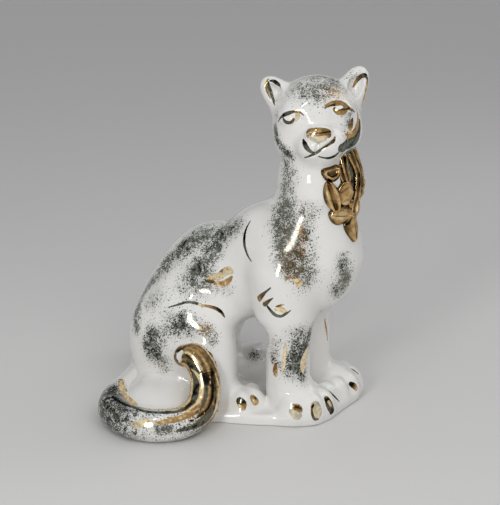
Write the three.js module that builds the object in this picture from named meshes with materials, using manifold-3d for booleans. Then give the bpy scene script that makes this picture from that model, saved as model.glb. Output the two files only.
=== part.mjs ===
// Seated cougar figurine: glazed slip-cast earthenware with a gilded garland, lustre and sprayed spots.
// Millimetres, +Z up. The animal faces -Y and its right side is -X. The origin is on the underside
// of the plinth, on the animal's middle plane. Each casting and each applied sprig is its own solid,
// as they are before slip joins them, with the slip seam left open between them.
import * as THREE from 'three';
import { mergeVertices } from 'three/addons/utils/BufferGeometryUtils.js';
import Module from 'manifold-3d';

const wasm = await Module();
wasm.setup();

// Joints and walls
const slipSeam = 0.3;
const castWall = 4;

// Plinth
const plinthHeight = 7;
const plinthEdgeRadius = 3;
const ventDiameter = 12;
const ventY = 36;

// Body: the clay masses, each with its centre and half sizes, and where the neck ends
const rumpCentre = [0, 36, 38];
const rumpHalfWidth = 44;
const rumpHalfDepth = 40;
const rumpHalfHeight = 48;
const seatCentre = [-2, 36, 12];
const seatHalfWidth = 43;
const seatHalfDepth = 41;
const seatHalfHeight = 36;
const backCentre = [0, 16, 75];
const backHalfWidth = 35;
const backHalfLength = 41;
const backHalfHeight = 38;
const bellyCentre = [0, -12, 82];
const bellyHalfWidth = 28;
const bellyHalfLength = 34;
const bellyHalfHeight = 26;
const chestCentre = [0, -38, 98];
const chestHalfWidth = 35;
const chestHalfDepth = 36;
const chestHalfHeight = 36;
const breastCentre = [3, -57, 98];
const breastHalfWidth = 23;
const breastHalfDepth = 23;
const breastHalfHeight = 28;
const withersCentre = [0, -16, 108];
const withersHalfWidth = 22;
const withersHalfHeight = 20;
const neckBaseX = 1;
const neckBaseY = -49;
const neckBaseDrop = 56;
const neckMiddleX = 0;
const neckMiddleY = -55;
const neckMiddleDrop = 25;
const neckTopX = -2;
const neckTopY = -52;
const neckTopHeight = 174;
const neckBaseRadius = 33;
const neckMiddleRadius = 24;
const neckRadius = 20;
const groinCentre = [20, -7, 22];
const groinHalf = [27, 23, 27];

// Arch: an egg-shaped tunnel below the belly, seen through from the right side towards the left
const archCentre = [0, -11.4, 39.2];
const archHalfWidth = 10;
const archHalfHeight = 9.8;
const archHalfLength = 75;
const archFall = -21;
const archTurn = -62.7;

// Haunches
const haunchOffset = 36;
const haunchHalfWidth = 18;
const rightHaunchY = 24;
const rightHaunchZ = 40;
const rightHaunchHalfDepth = 36;
const rightHaunchHalfHeight = 34;
const kneeRadius = 14;
const hockRadius = 12;
const leftHaunchY = 49;
const leftHaunchZ = 40;
const leftHaunchHalfDepth = 27;
const leftHaunchHalfHeight = 36;

// Forelegs and feet
const shoulderRadius = 18;
const shoulderHeight = 92;
const shoulderY = -42;
const elbowHeight = 66;
const shinHeight = 42;
const legRadius = 14;
const legOffset = 24;
const legY = -47;
const leftLegShare = 0.6;
const leftLegSetBack = 3.5;
const legSeamHeight = 54;
const rightPawAt = [-22, -57];
const leftPawAt = [17, -60];
const pawHalfWidth = 18;
const pawHalfLength = 17;
const pawHalfHeight = 12;
const pawRise = 3;
const rightHindFootRadius = 12;
const leftHindFootRadius = 8;
const hindFootLength = 26;
const hindFootSink = 1.5;
const rightHeelY = 4;
const leftHeelY = 36;

// Head, turned to the animal's right
const headX = 0;
const headY = -53;
const headRise = 13;
const headTurn = -62;
const headTilt = -9;
const headNod = -2;
const headHalfWidth = 25;
const headHalfDepth = 27;
const headHalfHeight = 23.5;
const muzzleHalfWidth = 13;
const rightEarSpread = 20;
const rightEarHeight = 18.5;
const leftEarSpread = 25;
const leftEarHeight = 16;
const earHalfWidth = 8.5;
const earHalfThickness = 6.5;
const earHalfHeight = 14;
const earRimWidth = 3.5;

// Tail
const tailRadius = 9.5;
const tailRootRadius = 9;
const tailTipRadius = 7.2;

// Garland: it hangs from a height below the neck's top, and its sprigs stand out of the chest
const garlandDrop = 6;
const sprigRelief = 3.4;
const stemRadius = 3;
const ribbonRadius = 3.6;
const beadRadius = 3;

// Facets
const bodySides = 32;
const bodyRings = 26;
const hollowSides = 16;
const hollowRings = 18;
const headSides = 30;
const limbSides = 20;
const tailSides = 12;
const tailRings = 38;
const sprigSides = 12;

const degrees = Math.PI / 180;
const plinthTop = plinthHeight + slipSeam;
const vector = ([x, y, z]) => new THREE.Vector3(x, y, z);
const turned = ([x, y, z]) => new THREE.Quaternion().setFromEuler(
  new THREE.Euler(x * degrees, y * degrees, z * degrees, 'ZYX'));

// Clay fields: negative inside, positive outside, near zero on the surface, in millimetres
function egg(at, half, turn = [0, 0, 0]) {
  const centre = vector(at);
  const inverse = turned(turn).invert();
  const [hx, hy, hz] = half;
  const q = new THREE.Vector3();
  return (p) => {
    q.copy(p).sub(centre).applyQuaternion(inverse);
    const reach = Math.hypot(q.x / hx, q.y / hy, q.z / hz);
    const slope = Math.hypot(q.x / (hx * hx), q.y / (hy * hy), q.z / (hz * hz));
    return reach * (reach - 1) / Math.max(slope, 1e-6);
  };
}

function limb(from, to, fromRadius, toRadius) {
  const start = vector(from);
  const along = vector(to).sub(start);
  const length = along.length();
  along.normalize();
  const lean = (fromRadius - toRadius) / length;
  const rise = Math.sqrt(1 - lean * lean);
  const q = new THREE.Vector3();
  return (p) => {
    q.copy(p).sub(start);
    const y = q.dot(along);
    const x = Math.sqrt(Math.max(q.lengthSq() - y * y, 0));
    const nearest = THREE.MathUtils.clamp(y + x * lean / rise, 0, length);
    return Math.hypot(x, y - nearest) - fromRadius + (fromRadius - toRadius) * nearest / length;
  };
}

function blend(softness, ...fields) {
  const pair = (a, b) => {
    const overlap = Math.max(softness - Math.abs(a - b), 0) / softness;
    return Math.min(a, b) - overlap * overlap * softness / 4;
  };
  return (p) => fields.map((field) => field(p)).reduce(pair);
}

function scoop(softness, field, cutter) {
  return (p) => {
    const outside = field(p);
    const cut = -cutter(p);
    const overlap = Math.max(softness - Math.abs(outside - cut), 0) / softness;
    return Math.max(outside, cut) + overlap * overlap * softness / 4;
  };
}

function hose(points, radii) {
  const spine = new THREE.CatmullRomCurve3(points.map(vector));
  const count = 4 * (points.length - 1);
  const steps = spine.getPoints(count).map((p) => p.toArray());
  const radiusAt = (i) => {
    const place = i / 4;
    const low = Math.min(Math.floor(place), radii.length - 2);
    return THREE.MathUtils.lerp(radii[low], radii[low + 1], place - low);
  };
  const parts = steps.slice(1).map((end, i) => limb(steps[i], end, radiusAt(i), radiusAt(i + 1)));
  return (p) => Math.min(...parts.map((part) => part(p)));
}

// Distance from a point inside the clay, along a direction, to where the clay ends
function reachOf(field, from, direction, grow) {
  const p = new THREE.Vector3();
  let reach = 0.05;
  for (let step = 0; step < 120; step += 1) {
    const depth = grow - field(p.copy(from).addScaledVector(direction, reach));
    if (Math.abs(depth) < 0.001) {
      break;
    }
    reach += 0.8 * depth;
  }
  return reach;
}

// A sphere whose points are pushed out from a centre to the clay's surface
function wrapBall(field, centre, sides, grow = 0, stretch = 1) {
  const ball = new THREE.SphereGeometry(1, sides, Math.round(sides * 0.6));
  ball.rotateX(Math.PI / 2);
  ball.scale(1, 1, stretch);
  const from = vector(centre);
  const spots = ball.attributes.position;
  const direction = new THREE.Vector3();
  for (let i = 0; i < spots.count; i += 1) {
    direction.fromBufferAttribute(spots, i).normalize();
    const reach = reachOf(field, from, direction, grow);
    const spot = from.clone().addScaledVector(direction, reach);
    spots.setXYZ(i, spot.x, spot.y, spot.z);
  }
  return solidOf(ball);
}

// A closed tube of rings round a spine, each ring pushed out to the clay's surface
function wrapTube(field, points, rings, sides, grow = 0) {
  const spine = new THREE.CatmullRomCurve3(points.map(vector));
  const { normals, binormals } = spine.computeFrenetFrames(rings, false);
  const spots = [];
  const faces = [];
  const direction = new THREE.Vector3();
  for (let ring = 0; ring <= rings; ring += 1) {
    const from = spine.getPointAt(ring / rings);
    for (let side = 0; side < sides; side += 1) {
      const angle = 2 * Math.PI * side / sides;
      direction.copy(normals[ring]).multiplyScalar(Math.cos(angle));
      direction.addScaledVector(binormals[ring], Math.sin(angle));
      const reach = reachOf(field, from, direction, grow);
      spots.push(...from.clone().addScaledVector(direction, reach).toArray());
      if (ring < rings) {
        const a = ring * sides + side;
        const b = ring * sides + (side + 1) % sides;
        faces.push(a, b, b + sides, a, b + sides, a + sides);
      }
    }
  }
  const startPole = (rings + 1) * sides;
  spots.push(...spine.getPointAt(0).toArray(), ...spine.getPointAt(1).toArray());
  for (let side = 0; side < sides; side += 1) {
    const next = (side + 1) % sides;
    faces.push(startPole, next, side);
    faces.push(startPole + 1, rings * sides + side, rings * sides + next);
  }
  const tube = new THREE.BufferGeometry();
  tube.setAttribute('position', new THREE.Float32BufferAttribute(spots, 3));
  tube.setIndex(faces);
  return solidOf(tube);
}

// Booleans
function solidOf(geometry) {
  geometry.deleteAttribute('normal');
  geometry.deleteAttribute('uv');
  const merged = mergeVertices(geometry, 1e-4);
  const vertProperties = new Float32Array(merged.attributes.position.array);
  const triVerts = new Uint32Array(merged.index.array);
  return new wasm.Manifold(new wasm.Mesh({ numProp: 3, vertProperties, triVerts }));
}

function geometryOf(solid) {
  const { vertProperties, triVerts } = solid.getMesh();
  const geometry = new THREE.BufferGeometry();
  geometry.setAttribute('position', new THREE.BufferAttribute(vertProperties, 3));
  geometry.setIndex(new THREE.BufferAttribute(triVerts, 1));
  geometry.computeVertexNormals();
  return geometry;
}

const join = (...solids) => solids.reduce((whole, solid) => whole.add(solid));
const cut = (solid, ...cutters) => cutters.reduce((rest, cutter) => rest.subtract(cutter), solid);

// A block that takes away everything below or above a height
const blockSize = 600;
function blockFrom(height, direction) {
  const block = new THREE.BoxGeometry(blockSize, blockSize, blockSize);
  block.translate(0, 0, height + direction * blockSize / 2);
  return solidOf(block);
}
const below = (height) => blockFrom(height, -1);
const above = (height) => blockFrom(height, 1);

// Torso and neck
const rump = egg(rumpCentre, [rumpHalfWidth, rumpHalfDepth, rumpHalfHeight]);
const seat = egg(seatCentre, [seatHalfWidth, seatHalfDepth, seatHalfHeight]);
const back = egg(backCentre, [backHalfWidth, backHalfLength, backHalfHeight], [-38, 0, 0]);
const belly = egg(bellyCentre, [bellyHalfWidth, bellyHalfLength, bellyHalfHeight], [-20, 0, 0]);
const chest = egg(chestCentre, [chestHalfWidth, chestHalfDepth, chestHalfHeight], [10, 0, 0]);
const breast = egg(breastCentre, [breastHalfWidth, breastHalfDepth, breastHalfHeight], [6, 0, 0]);
const withers = egg(withersCentre, [withersHalfWidth, withersHalfHeight, withersHalfHeight]);
const neckBaseCentre = [neckBaseX, neckBaseY, neckTopHeight - neckBaseDrop];
const neckMiddleCentre = [neckMiddleX, neckMiddleY, neckTopHeight - neckMiddleDrop];
const neckBase = limb(neckBaseCentre, neckMiddleCentre, neckBaseRadius, neckMiddleRadius);
const neckEnd = [neckTopX, neckTopY, neckTopHeight + 2];
const neck = limb(neckMiddleCentre, neckEnd, neckMiddleRadius, neckRadius);
const groin = egg(groinCentre, groinHalf);
const arch = egg(archCentre, [archHalfWidth, archHalfLength, archHalfHeight], [archFall, 0, archTurn]);
const hips = blend(18, blend(10, rump, seat), back);
const trunk = blend(14, hips, belly, blend(18, chest, breast), neckBase, withers);
const torso = scoop(8, blend(8, trunk, neck), groin);
const torsoSpine = [
  [0, 36, 0], [0, 32, 38], [0, 14, 74], [0, -18, 99], [0, -42, neckTopHeight - neckBaseDrop],
  [1, -54, neckTopHeight - neckMiddleDrop - 1], [-1, -54, neckTopHeight + 8]];

// Haunches; the left one is set back, so the arch below the belly stays open
const rightHaunch = blend(10,
  egg([-haunchOffset, rightHaunchY, rightHaunchZ],
    [haunchHalfWidth, rightHaunchHalfDepth, rightHaunchHalfHeight], [20, 0, 0]),
  limb([-haunchOffset - 2, 0, rightHaunchZ + 2], [-haunchOffset - 4, -6, 18], kneeRadius, hockRadius));
const leftHaunch = egg([haunchOffset - 2, leftHaunchY, leftHaunchZ],
  [haunchHalfWidth, leftHaunchHalfDepth, leftHaunchHalfHeight], [8, 0, 0]);
const hindquarters = scoop(6, scoop(8, blend(14, torso, rightHaunch, leftHaunch), groin), arch);

// Forelegs with their paws, standing on the plinth
function forelegOf(side, topRadius, setBack, [pawX, pawY]) {
  const x = side * legOffset;
  const elbowRadius = (topRadius + legRadius) / 2 + 0.5;
  const y = setBack + legY;
  const leg = hose(
    [[x - side * 2, shoulderY - 1, shoulderHeight], [x - side, y + 2, elbowHeight],
      [x, y, shinHeight], [x, y, plinthHeight + 13]],
    [topRadius, elbowRadius, legRadius, legRadius]);
  const paw = egg([pawX, pawY, plinthHeight + pawRise], [pawHalfWidth, pawHalfLength, pawHalfHeight]);
  const shoulderTop = [x - side * 2, shoulderY, shoulderHeight];
  const shoulder = limb(shoulderTop, [x - side, shoulderY - 1, elbowHeight + 4], topRadius, elbowRadius);
  return { field: scoop(6, blend(9, leg, paw), arch), shoulder, x };
}
const rightLeg = forelegOf(-1, shoulderRadius, 0, rightPawAt);
const leftLeg = forelegOf(leftLegShare, shoulderRadius - 1, leftLegSetBack, leftPawAt);

function shoulderSolid(leg, grow) {
  const stump = wrapBall(leg.field, [leg.x, shoulderY, shoulderHeight - 10], limbSides, grow, 1.6);
  return stump.subtract(below(legSeamHeight + slipSeam / 2 - grow));
}

function legSolid(leg) {
  const whole = wrapBall(leg.field, [leg.x, legY - 4, plinthHeight + 8], limbSides + 4, 0, 1.8);
  return cut(whole, above(legSeamHeight - slipSeam / 2), below(plinthTop), bodyWithSeam);
}

// The body casting: torso, haunches and shoulder stumps in one mould, hollow, open below and at the neck
const skin = scoop(6, blend(10, hindquarters, rightLeg.shoulder, leftLeg.shoulder), arch);
function bodySolid(grow) {
  const trunkSolid = wrapTube(skin, torsoSpine, bodyRings, bodySides, grow);
  const whole = join(trunkSolid, shoulderSolid(rightLeg, grow), shoulderSolid(leftLeg, grow));
  return cut(whole, below(plinthTop - grow), above(neckTopHeight + grow));
}
const bodyHollow = wrapTube(hindquarters, torsoSpine, hollowRings, hollowSides, -castWall);
const bodyWithSeam = bodySolid(slipSeam);

// Hind feet: the left one lies flatter
function hindFoot(side, heel, radius, grow = 0) {
  const height = plinthHeight + hindFootSink;
  const from = [side * (haunchOffset + 3), heel, height];
  const to = [side * (haunchOffset + 2), heel - hindFootLength, height];
  const field = limb(from, to, radius, radius - 1);
  const middle = [from[0], heel - hindFootLength / 2, height + 1];
  return wrapBall(field, middle, limbSides, grow).subtract(below(plinthTop - grow));
}
const rightFoot = (grow) => hindFoot(-1, rightHeelY, rightHindFootRadius, grow);
const leftFoot = (grow) => hindFoot(1, leftHeelY, leftHindFootRadius, grow);

// Head casting: hollow, set down over the neck
const headCentre = new THREE.Vector3(headX, headY, neckTopHeight + headRise);
const headPose = turned([headNod, headTilt, headTurn]);
const onHead = (x, y, z) => new THREE.Vector3(x, y, z).applyQuaternion(headPose).add(headCentre).toArray();
function headEgg(at, half, turn = [0, 0, 0]) {
  const field = egg(at, half, turn);
  const q = new THREE.Vector3();
  const inverse = headPose.clone().invert();
  return (p) => field(q.copy(p).sub(headCentre).applyQuaternion(inverse));
}
const bothSides = (make) => [make(-1), make(1)];
const skull = headEgg([0, 1, 3], [headHalfWidth, headHalfDepth, headHalfHeight]);
const cheeks = bothSides((s) => headEgg([s * 14, -7, -7], [12.5, 14, 13.5]));
const brows = bothSides((s) => headEgg([s * 12, -16, 8], [10, 9, 7]));
const muzzle = headEgg([0, -19, -10.5], [muzzleHalfWidth, 13, 9.5]);
const lips = bothSides((s) => headEgg([s * 6, -24, -11], [8, 8, 7.5]));
const chin = headEgg([0, -17, -17], [11, 11, 8]);
const bridge = limb(onHead(0, -16, 3), onHead(0, -26, -6), 8, 7);
const head = blend(5, blend(9, skull, ...cheeks), blend(6, ...brows, skull), bridge, muzzle, ...lips, chin);
const headWithSeam = wrapBall(head, headCentre.toArray(), headSides, slipSeam);
const headHollow = wrapBall(head, headCentre.toArray(), limbSides, -castWall);

// Ears: cupped, pressed by hand and set on the head
function earSolid(side, spread, height) {
  const shell = blend(6,
    headEgg([side * spread, 4, height], [earHalfWidth, earHalfThickness, earHalfHeight], [0, side * 36, 0]),
    headEgg([side * (spread - 3), 4, height - 7], [8, 8, 12], [0, side * 10, 0]));
  const cup = headEgg([side * (spread + 0.5), -3, height + 0.5],
    [earHalfWidth - earRimWidth, 6, earHalfHeight - earRimWidth], [0, side * 36, 0]);
  const centre = onHead(side * spread, 5, height);
  const cupCentre = onHead(side * (spread + 0.5), -3, height + 0.5);
  return cut(wrapBall(shell, centre, limbSides), wrapBall(cup, cupCentre, limbSides), headWithSeam);
}

// Plinth: one cast slab with rounded edges, and the low bed that carries the tail
const plinthOutline = [
  [-28, -72], [0, -77], [22, -78], [36, -73], [44, -54], [44, -28], [47, 4], [51, 36], [42, 64], [20, 79],
  [-6, 81], [-30, 74], [-47, 56], [-56, 30], [-59, 0], [-54, -24], [-45, -48], [-38, -62]];
const tailBed = egg([-50, 26, 2], [40, 33, 20]);
const tailBedCentre = [-50, 26, 6];

function plinthSolid(grow) {
  const rim = new THREE.CatmullRomCurve3(plinthOutline.map(([x, y]) => new THREE.Vector3(x, y, 0)), true);
  const shape = new THREE.Shape(rim.getPoints(54).map((p) => new THREE.Vector2(p.x, p.y)));
  const slab = new THREE.ExtrudeGeometry(shape, {
    depth: plinthHeight - plinthEdgeRadius,
    bevelThickness: plinthEdgeRadius + grow,
    bevelSize: plinthEdgeRadius + grow,
    bevelOffset: -plinthEdgeRadius,
    bevelSegments: 2,
  });
  const bed = wrapBall(tailBed, tailBedCentre, bodySides, grow);
  return join(solidOf(slab), bed).subtract(below(0));
}

function ventSolid() {
  const hole = new THREE.CylinderGeometry(ventDiameter / 2, ventDiameter / 2, 4 * plinthHeight, 24);
  hole.rotateX(Math.PI / 2);
  hole.translate(0, ventY, 0);
  return solidOf(hole);
}

// Tail: leaves the rump at the back, lies on the table round the right haunch and curls up its front
const tailLie = tailRadius;
const tailPath = [
  [-6, 62, tailLie + 1, tailRootRadius], [-30, 60, tailLie, tailRootRadius],
  [-52, 56, tailLie, tailRootRadius], [-73, 52, tailLie, tailRadius - 0.3],
  [-89, 42, tailLie, tailRadius + 0.3], [-97, 25, tailLie, tailRadius + 0.7],
  [-95, 8, tailLie, tailRadius + 0.7], [-85, -5, tailLie + 1, tailRadius + 0.5],
  [-70, -9, 14, tailRadius + 0.5], [-61.5, -8, 24, tailRadius],
  [-58.5, -5, 34, tailRadius - 0.5], [-57.5, 2, 42, (tailRadius + tailTipRadius) / 2],
  [-57, 9, 41.3, tailTipRadius]];

function tailSolid() {
  const points = tailPath.map(([x, y, z]) => [x, y, z]);
  const field = hose(points, tailPath.map((station) => station[3]));
  const tube = wrapTube(field, points, tailRings, tailSides);
  const tip = new THREE.SphereGeometry(tailTipRadius, tailSides, 8);
  tip.translate(...points.at(-1));
  return join(tube, solidOf(tip)).subtract(below(0));
}

// Garland of gilded sprigs on the chest. A spot is given as seen from the front: x, and how far it
// lies below the garland's top
const garlandTop = neckTopHeight - garlandDrop;
function onChest(x, drop) {
  const from = new THREE.Vector3(x, neckTopY + 2, garlandTop - drop);
  const forward = new THREE.Vector3(0, -1, 0);
  return from.addScaledVector(forward, reachOf(torso, from, forward, 0));
}

function chestNormal(spot) {
  const nudge = 0.5;
  const slope = (dx, dy, dz) => {
    const ahead = torso(spot.clone().add(new THREE.Vector3(dx, dy, dz)));
    return ahead - torso(spot.clone().sub(new THREE.Vector3(dx, dy, dz)));
  };
  return new THREE.Vector3(slope(nudge, 0, 0), slope(0, nudge, 0), slope(0, 0, nudge)).normalize();
}

// A leaf: widest above its middle, pointed below, flattened against the chest
function leafSolid({ x, drop, length, width, lean, grow = 0 }) {
  const profile = [];
  for (let step = 0; step <= 10; step += 1) {
    const along = step / 10;
    const swell = Math.sin(Math.PI * along ** 1.35) ** 0.8;
    profile.push(new THREE.Vector2((width / 2) * swell + (step % 10 ? grow : 0), (along - 0.5) * length));
  }
  const leaf = new THREE.LatheGeometry(profile, sprigSides);
  leaf.scale(1, 1, 2 * (sprigRelief + grow) / (width + 2 * grow));
  const spot = onChest(x, drop);
  const outward = chestNormal(spot);
  const down = new THREE.Vector3(Math.sin(lean * degrees), 0, -Math.cos(lean * degrees));
  down.addScaledVector(outward, -down.dot(outward)).normalize();
  const across = new THREE.Vector3().crossVectors(outward, down);
  const pose = new THREE.Matrix4().makeBasis(across, down.negate(), outward).setPosition(spot);
  leaf.applyMatrix4(pose);
  return solidOf(leaf);
}

// A strand laid on the chest through several spots
function strandSolid(spots, radius, grow = 0) {
  const points = spots.map(([x, drop]) => onChest(x, drop).toArray());
  const field = hose(points, points.map(() => radius));
  const ends = [points[0], points.at(-1)].map((end) => {
    const ball = new THREE.SphereGeometry(radius + grow, sprigSides, 8);
    ball.translate(...end);
    return solidOf(ball);
  });
  return join(wrapTube(field, points, 4 * (points.length - 1), sprigSides, grow), ...ends);
}

function beadSolid([x, drop], grow = 0) {
  const bead = new THREE.SphereGeometry(beadRadius + grow, sprigSides, 8);
  bead.translate(...onChest(x, drop).toArray());
  return solidOf(bead);
}

const sideNames = { '-1': 'right', 1: 'left' };
const mirrored = (name, make) => [-1, 1].map((side) => ({
  name: `${name}_${sideNames[side]}`, make: (grow) => make(side, grow) }));
const sprigs = [
  { name: 'garland_stem', make: (grow) => strandSolid([[0, 0], [2, 11], [-1, 22], [1, 32], [1, 40]],
    stemRadius, grow) },
  ...mirrored('garland_ribbon', (side, grow) => strandSolid([[side * 9, 0], [side * 10, 6], [side * 10, 12]],
    ribbonRadius, grow)),
  ...mirrored('garland_bud', (side, grow) => leafSolid({
    x: side * 11.5, drop: 21, length: 15, width: 11, lean: 0, grow })),
  ...mirrored('garland_petal', (side, grow) => leafSolid({
    x: side * 17, drop: 7.5, length: 12, width: 12, lean: side * 10, grow })),
  ...mirrored('garland_leaf', (side, grow) => leafSolid({
    x: side * 18, drop: 23, length: 21, width: 9, lean: -side * 28, grow })),
  ...mirrored('garland_lower_leaf', (side, grow) => leafSolid({
    x: side * 9.5, drop: 35, length: 19, width: 13, lean: side * 96, grow })),
  { name: 'garland_bead_upper', make: (grow) => beadSolid([5.5, 27], grow) },
  { name: 'garland_bead_lower', make: (grow) => beadSolid([-4.5, 29], grow) },
  { name: 'garland_tip_leaf', make: (grow) => leafSolid({
    x: -2.5, drop: 45, length: 17, width: 14, lean: -8, grow }) },
];

// Glazes
const glaze = new THREE.MeshStandardMaterial({ color: 0xe9e8e4, roughness: 0.12, metalness: 0 });
const lustre = new THREE.MeshStandardMaterial({ color: 0xb88a4a, roughness: 0.18, metalness: 1 });

const figurine = new THREE.Group();
function addPiece(name, solid, material) {
  const piece = new THREE.Mesh(geometryOf(solid), material.clone());
  piece.name = name;
  figurine.add(piece);
}

const plinthWithSeam = plinthSolid(slipSeam);
const rightFootWithSeam = rightFoot(slipSeam);
addPiece('plinth', cut(plinthSolid(0), bodyWithSeam, rightFootWithSeam, ventSolid()), glaze);
addPiece('body', cut(bodySolid(0), bodyHollow), glaze);
addPiece('head', cut(wrapBall(head, headCentre.toArray(), headSides), headHollow, bodyWithSeam), glaze);
addPiece('right_ear', earSolid(-1, rightEarSpread, rightEarHeight), glaze);
addPiece('left_ear', earSolid(1, leftEarSpread, leftEarHeight), glaze);
addPiece('right_foreleg', legSolid(rightLeg), glaze);
addPiece('left_foreleg', legSolid(leftLeg), glaze);
addPiece('right_hind_foot', rightFoot(0).subtract(bodyWithSeam), glaze);
addPiece('left_hind_foot', leftFoot(0).subtract(bodyWithSeam), glaze);
addPiece('tail', cut(tailSolid(), bodyWithSeam, plinthWithSeam, rightFootWithSeam), lustre);

const laid = [];
for (const sprig of sprigs) {
  addPiece(sprig.name, cut(sprig.make(0), bodyWithSeam, headWithSeam, ...laid), lustre);
  laid.push(sprig.make(slipSeam));
}

export default figurine;
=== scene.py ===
# Seated cougar figurine, glazed and lustred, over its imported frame. Fields are in millimetres and
# meshes in metres. The animal faces -Y and its right side is -X, as in the frame.
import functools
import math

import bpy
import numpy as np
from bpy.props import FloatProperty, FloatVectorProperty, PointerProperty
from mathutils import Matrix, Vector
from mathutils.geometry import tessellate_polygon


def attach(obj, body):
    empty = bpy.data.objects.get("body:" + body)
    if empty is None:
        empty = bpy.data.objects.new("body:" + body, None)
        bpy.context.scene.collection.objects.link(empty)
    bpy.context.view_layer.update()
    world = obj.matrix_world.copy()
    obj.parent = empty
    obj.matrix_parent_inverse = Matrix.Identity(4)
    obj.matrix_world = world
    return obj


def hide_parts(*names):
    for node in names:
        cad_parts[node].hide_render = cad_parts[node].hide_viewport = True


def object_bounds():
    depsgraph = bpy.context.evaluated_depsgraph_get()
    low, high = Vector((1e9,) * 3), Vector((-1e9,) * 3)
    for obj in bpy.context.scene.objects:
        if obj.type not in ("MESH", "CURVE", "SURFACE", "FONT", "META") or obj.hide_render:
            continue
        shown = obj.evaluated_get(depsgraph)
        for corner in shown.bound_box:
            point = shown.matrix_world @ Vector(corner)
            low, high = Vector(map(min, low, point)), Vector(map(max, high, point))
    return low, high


bl_info = {
    "name": "Seated Cougar Figurine",
    "version": (1, 0, 0),
    "blender": (4, 5, 0),
    "location": "3D Viewport > Sidebar > Figurine",
    "description": "Glazed ceramic figurine with lustre, sprayed spots and a gilded garland",
    "category": "Add Mesh",
}

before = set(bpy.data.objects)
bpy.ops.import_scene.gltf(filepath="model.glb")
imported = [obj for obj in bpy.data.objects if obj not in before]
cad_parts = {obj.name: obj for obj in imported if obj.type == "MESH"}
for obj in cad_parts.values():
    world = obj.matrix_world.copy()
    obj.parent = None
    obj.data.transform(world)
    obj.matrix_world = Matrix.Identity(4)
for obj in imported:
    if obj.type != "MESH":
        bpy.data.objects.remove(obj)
CAD_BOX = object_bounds()
MM = 0.001

# Sizes of the castings, as the frame has them
PLINTH_HEIGHT = 7
PLINTH_EDGE_RADIUS = 3
LEG_RADIUS = 14
LEG_OFFSET = 24
SHOULDER_RADIUS = 18
PAW_HALF = (18, 17, 12)
HAUNCH_OFFSET = 36
HIND_FOOT_LENGTH = 26
HEAD_CENTRE = (0, -53, 187)
HEAD_POSE = (-2, -9, -62)
PLINTH_OUTLINE = [
    (-28, -72), (0, -77), (22, -78), (36, -73), (44, -54), (44, -28), (47, 4), (51, 36), (42, 64),
    (20, 79), (-6, 81), (-30, 74), (-47, 56), (-56, 30), (-59, 0), (-54, -24), (-45, -48), (-38, -62)]
TAIL_PATH = [
    (-6, 62, 10.5, 9), (-30, 60, 9.5, 9), (-52, 56, 9.5, 9), (-73, 52, 9.5, 9.2), (-89, 42, 9.5, 9.8),
    (-97, 25, 9.5, 10.2), (-95, 8, 9.5, 10.2), (-85, -5, 10.5, 10), (-70, -9, 14, 10),
    (-61.5, -8, 24, 9.5), (-58.5, -5, 34, 9), (-57.5, 2, 42, 8.35), (-57, 9, 41.3, 7.2)]

# Camera of the photograph, whose frame is 500 by 505 pixels
PHOTO_WIDTH, PHOTO_HEIGHT = 500, 505
CAMERA_AT = (-662.2, -352.1, 330.0)
CAMERA_LOOKS_AT = (-0.52, -7.7, 96.22)
SENSOR_WIDTH = 36
FOCAL_PIXELS = 1203.7


# Clay fields: negative inside, positive outside, near zero on the surface, in millimetres
def turned(turn):
    x, y, z = (math.radians(a) for a in turn)
    rx = np.array([[1, 0, 0], [0, math.cos(x), -math.sin(x)], [0, math.sin(x), math.cos(x)]])
    ry = np.array([[math.cos(y), 0, math.sin(y)], [0, 1, 0], [-math.sin(y), 0, math.cos(y)]])
    rz = np.array([[math.cos(z), -math.sin(z), 0], [math.sin(z), math.cos(z), 0], [0, 0, 1]])
    return rz @ ry @ rx


def length(v):
    return np.sqrt(np.einsum("ij,ij->i", v, v))


def unit(v):
    return v / np.linalg.norm(v)


def outside_box(p, lo, hi):
    """How far each point lies outside a box, and 0 inside it."""
    return length(np.maximum(np.maximum(lo - p, p - hi), 0))


def from_segment(p, a, b):
    """How far along the segment from a to b each point lies, from 0 to 1, and the way from there to it."""
    step = b - a
    t = np.clip(((p - a) @ step) / (step @ step), 0, 1)
    return t, p - a - t[:, None] * step


def egg(at, half, turn=(0, 0, 0)):
    spin, half = turned(turn), np.array(half, float)

    def field(p):
        q = (p - at) @ spin
        reach = length(q / half)
        return reach * (reach - 1) / np.maximum(length(q / half ** 2), 1e-6)
    return field


def limb(start, end, r0, r1):
    start, end = np.array(start, float), np.array(end, float)
    whole = np.linalg.norm(end - start)
    along = (end - start) / whole
    lean = (r0 - r1) / whole
    rise = math.sqrt(1 - lean * lean)

    def field(p):
        q = p - start
        y = q @ along
        x = np.sqrt(np.maximum(np.einsum("ij,ij->i", q, q) - y * y, 0))
        nearest = np.clip(y + x * lean / rise, 0, whole)
        return np.hypot(x, y - nearest) - r0 + (r0 - r1) * nearest / whole
    return field


def melt(a, b, softness):
    overlap = np.maximum(softness - np.abs(a - b), 0) / softness
    return np.minimum(a, b) - overlap * overlap * softness / 4


def blend(softness, *fields):
    def field(p):
        whole = fields[0](p)
        for other in fields[1:]:
            whole = melt(whole, other(p), softness)
        return whole
    return field


def scoop(softness, field, *cutters):
    def carved(p):
        rest = field(p)
        for cutter in cutters:
            rest = -melt(-rest, cutter(p), softness)
        return rest
    return carved


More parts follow.
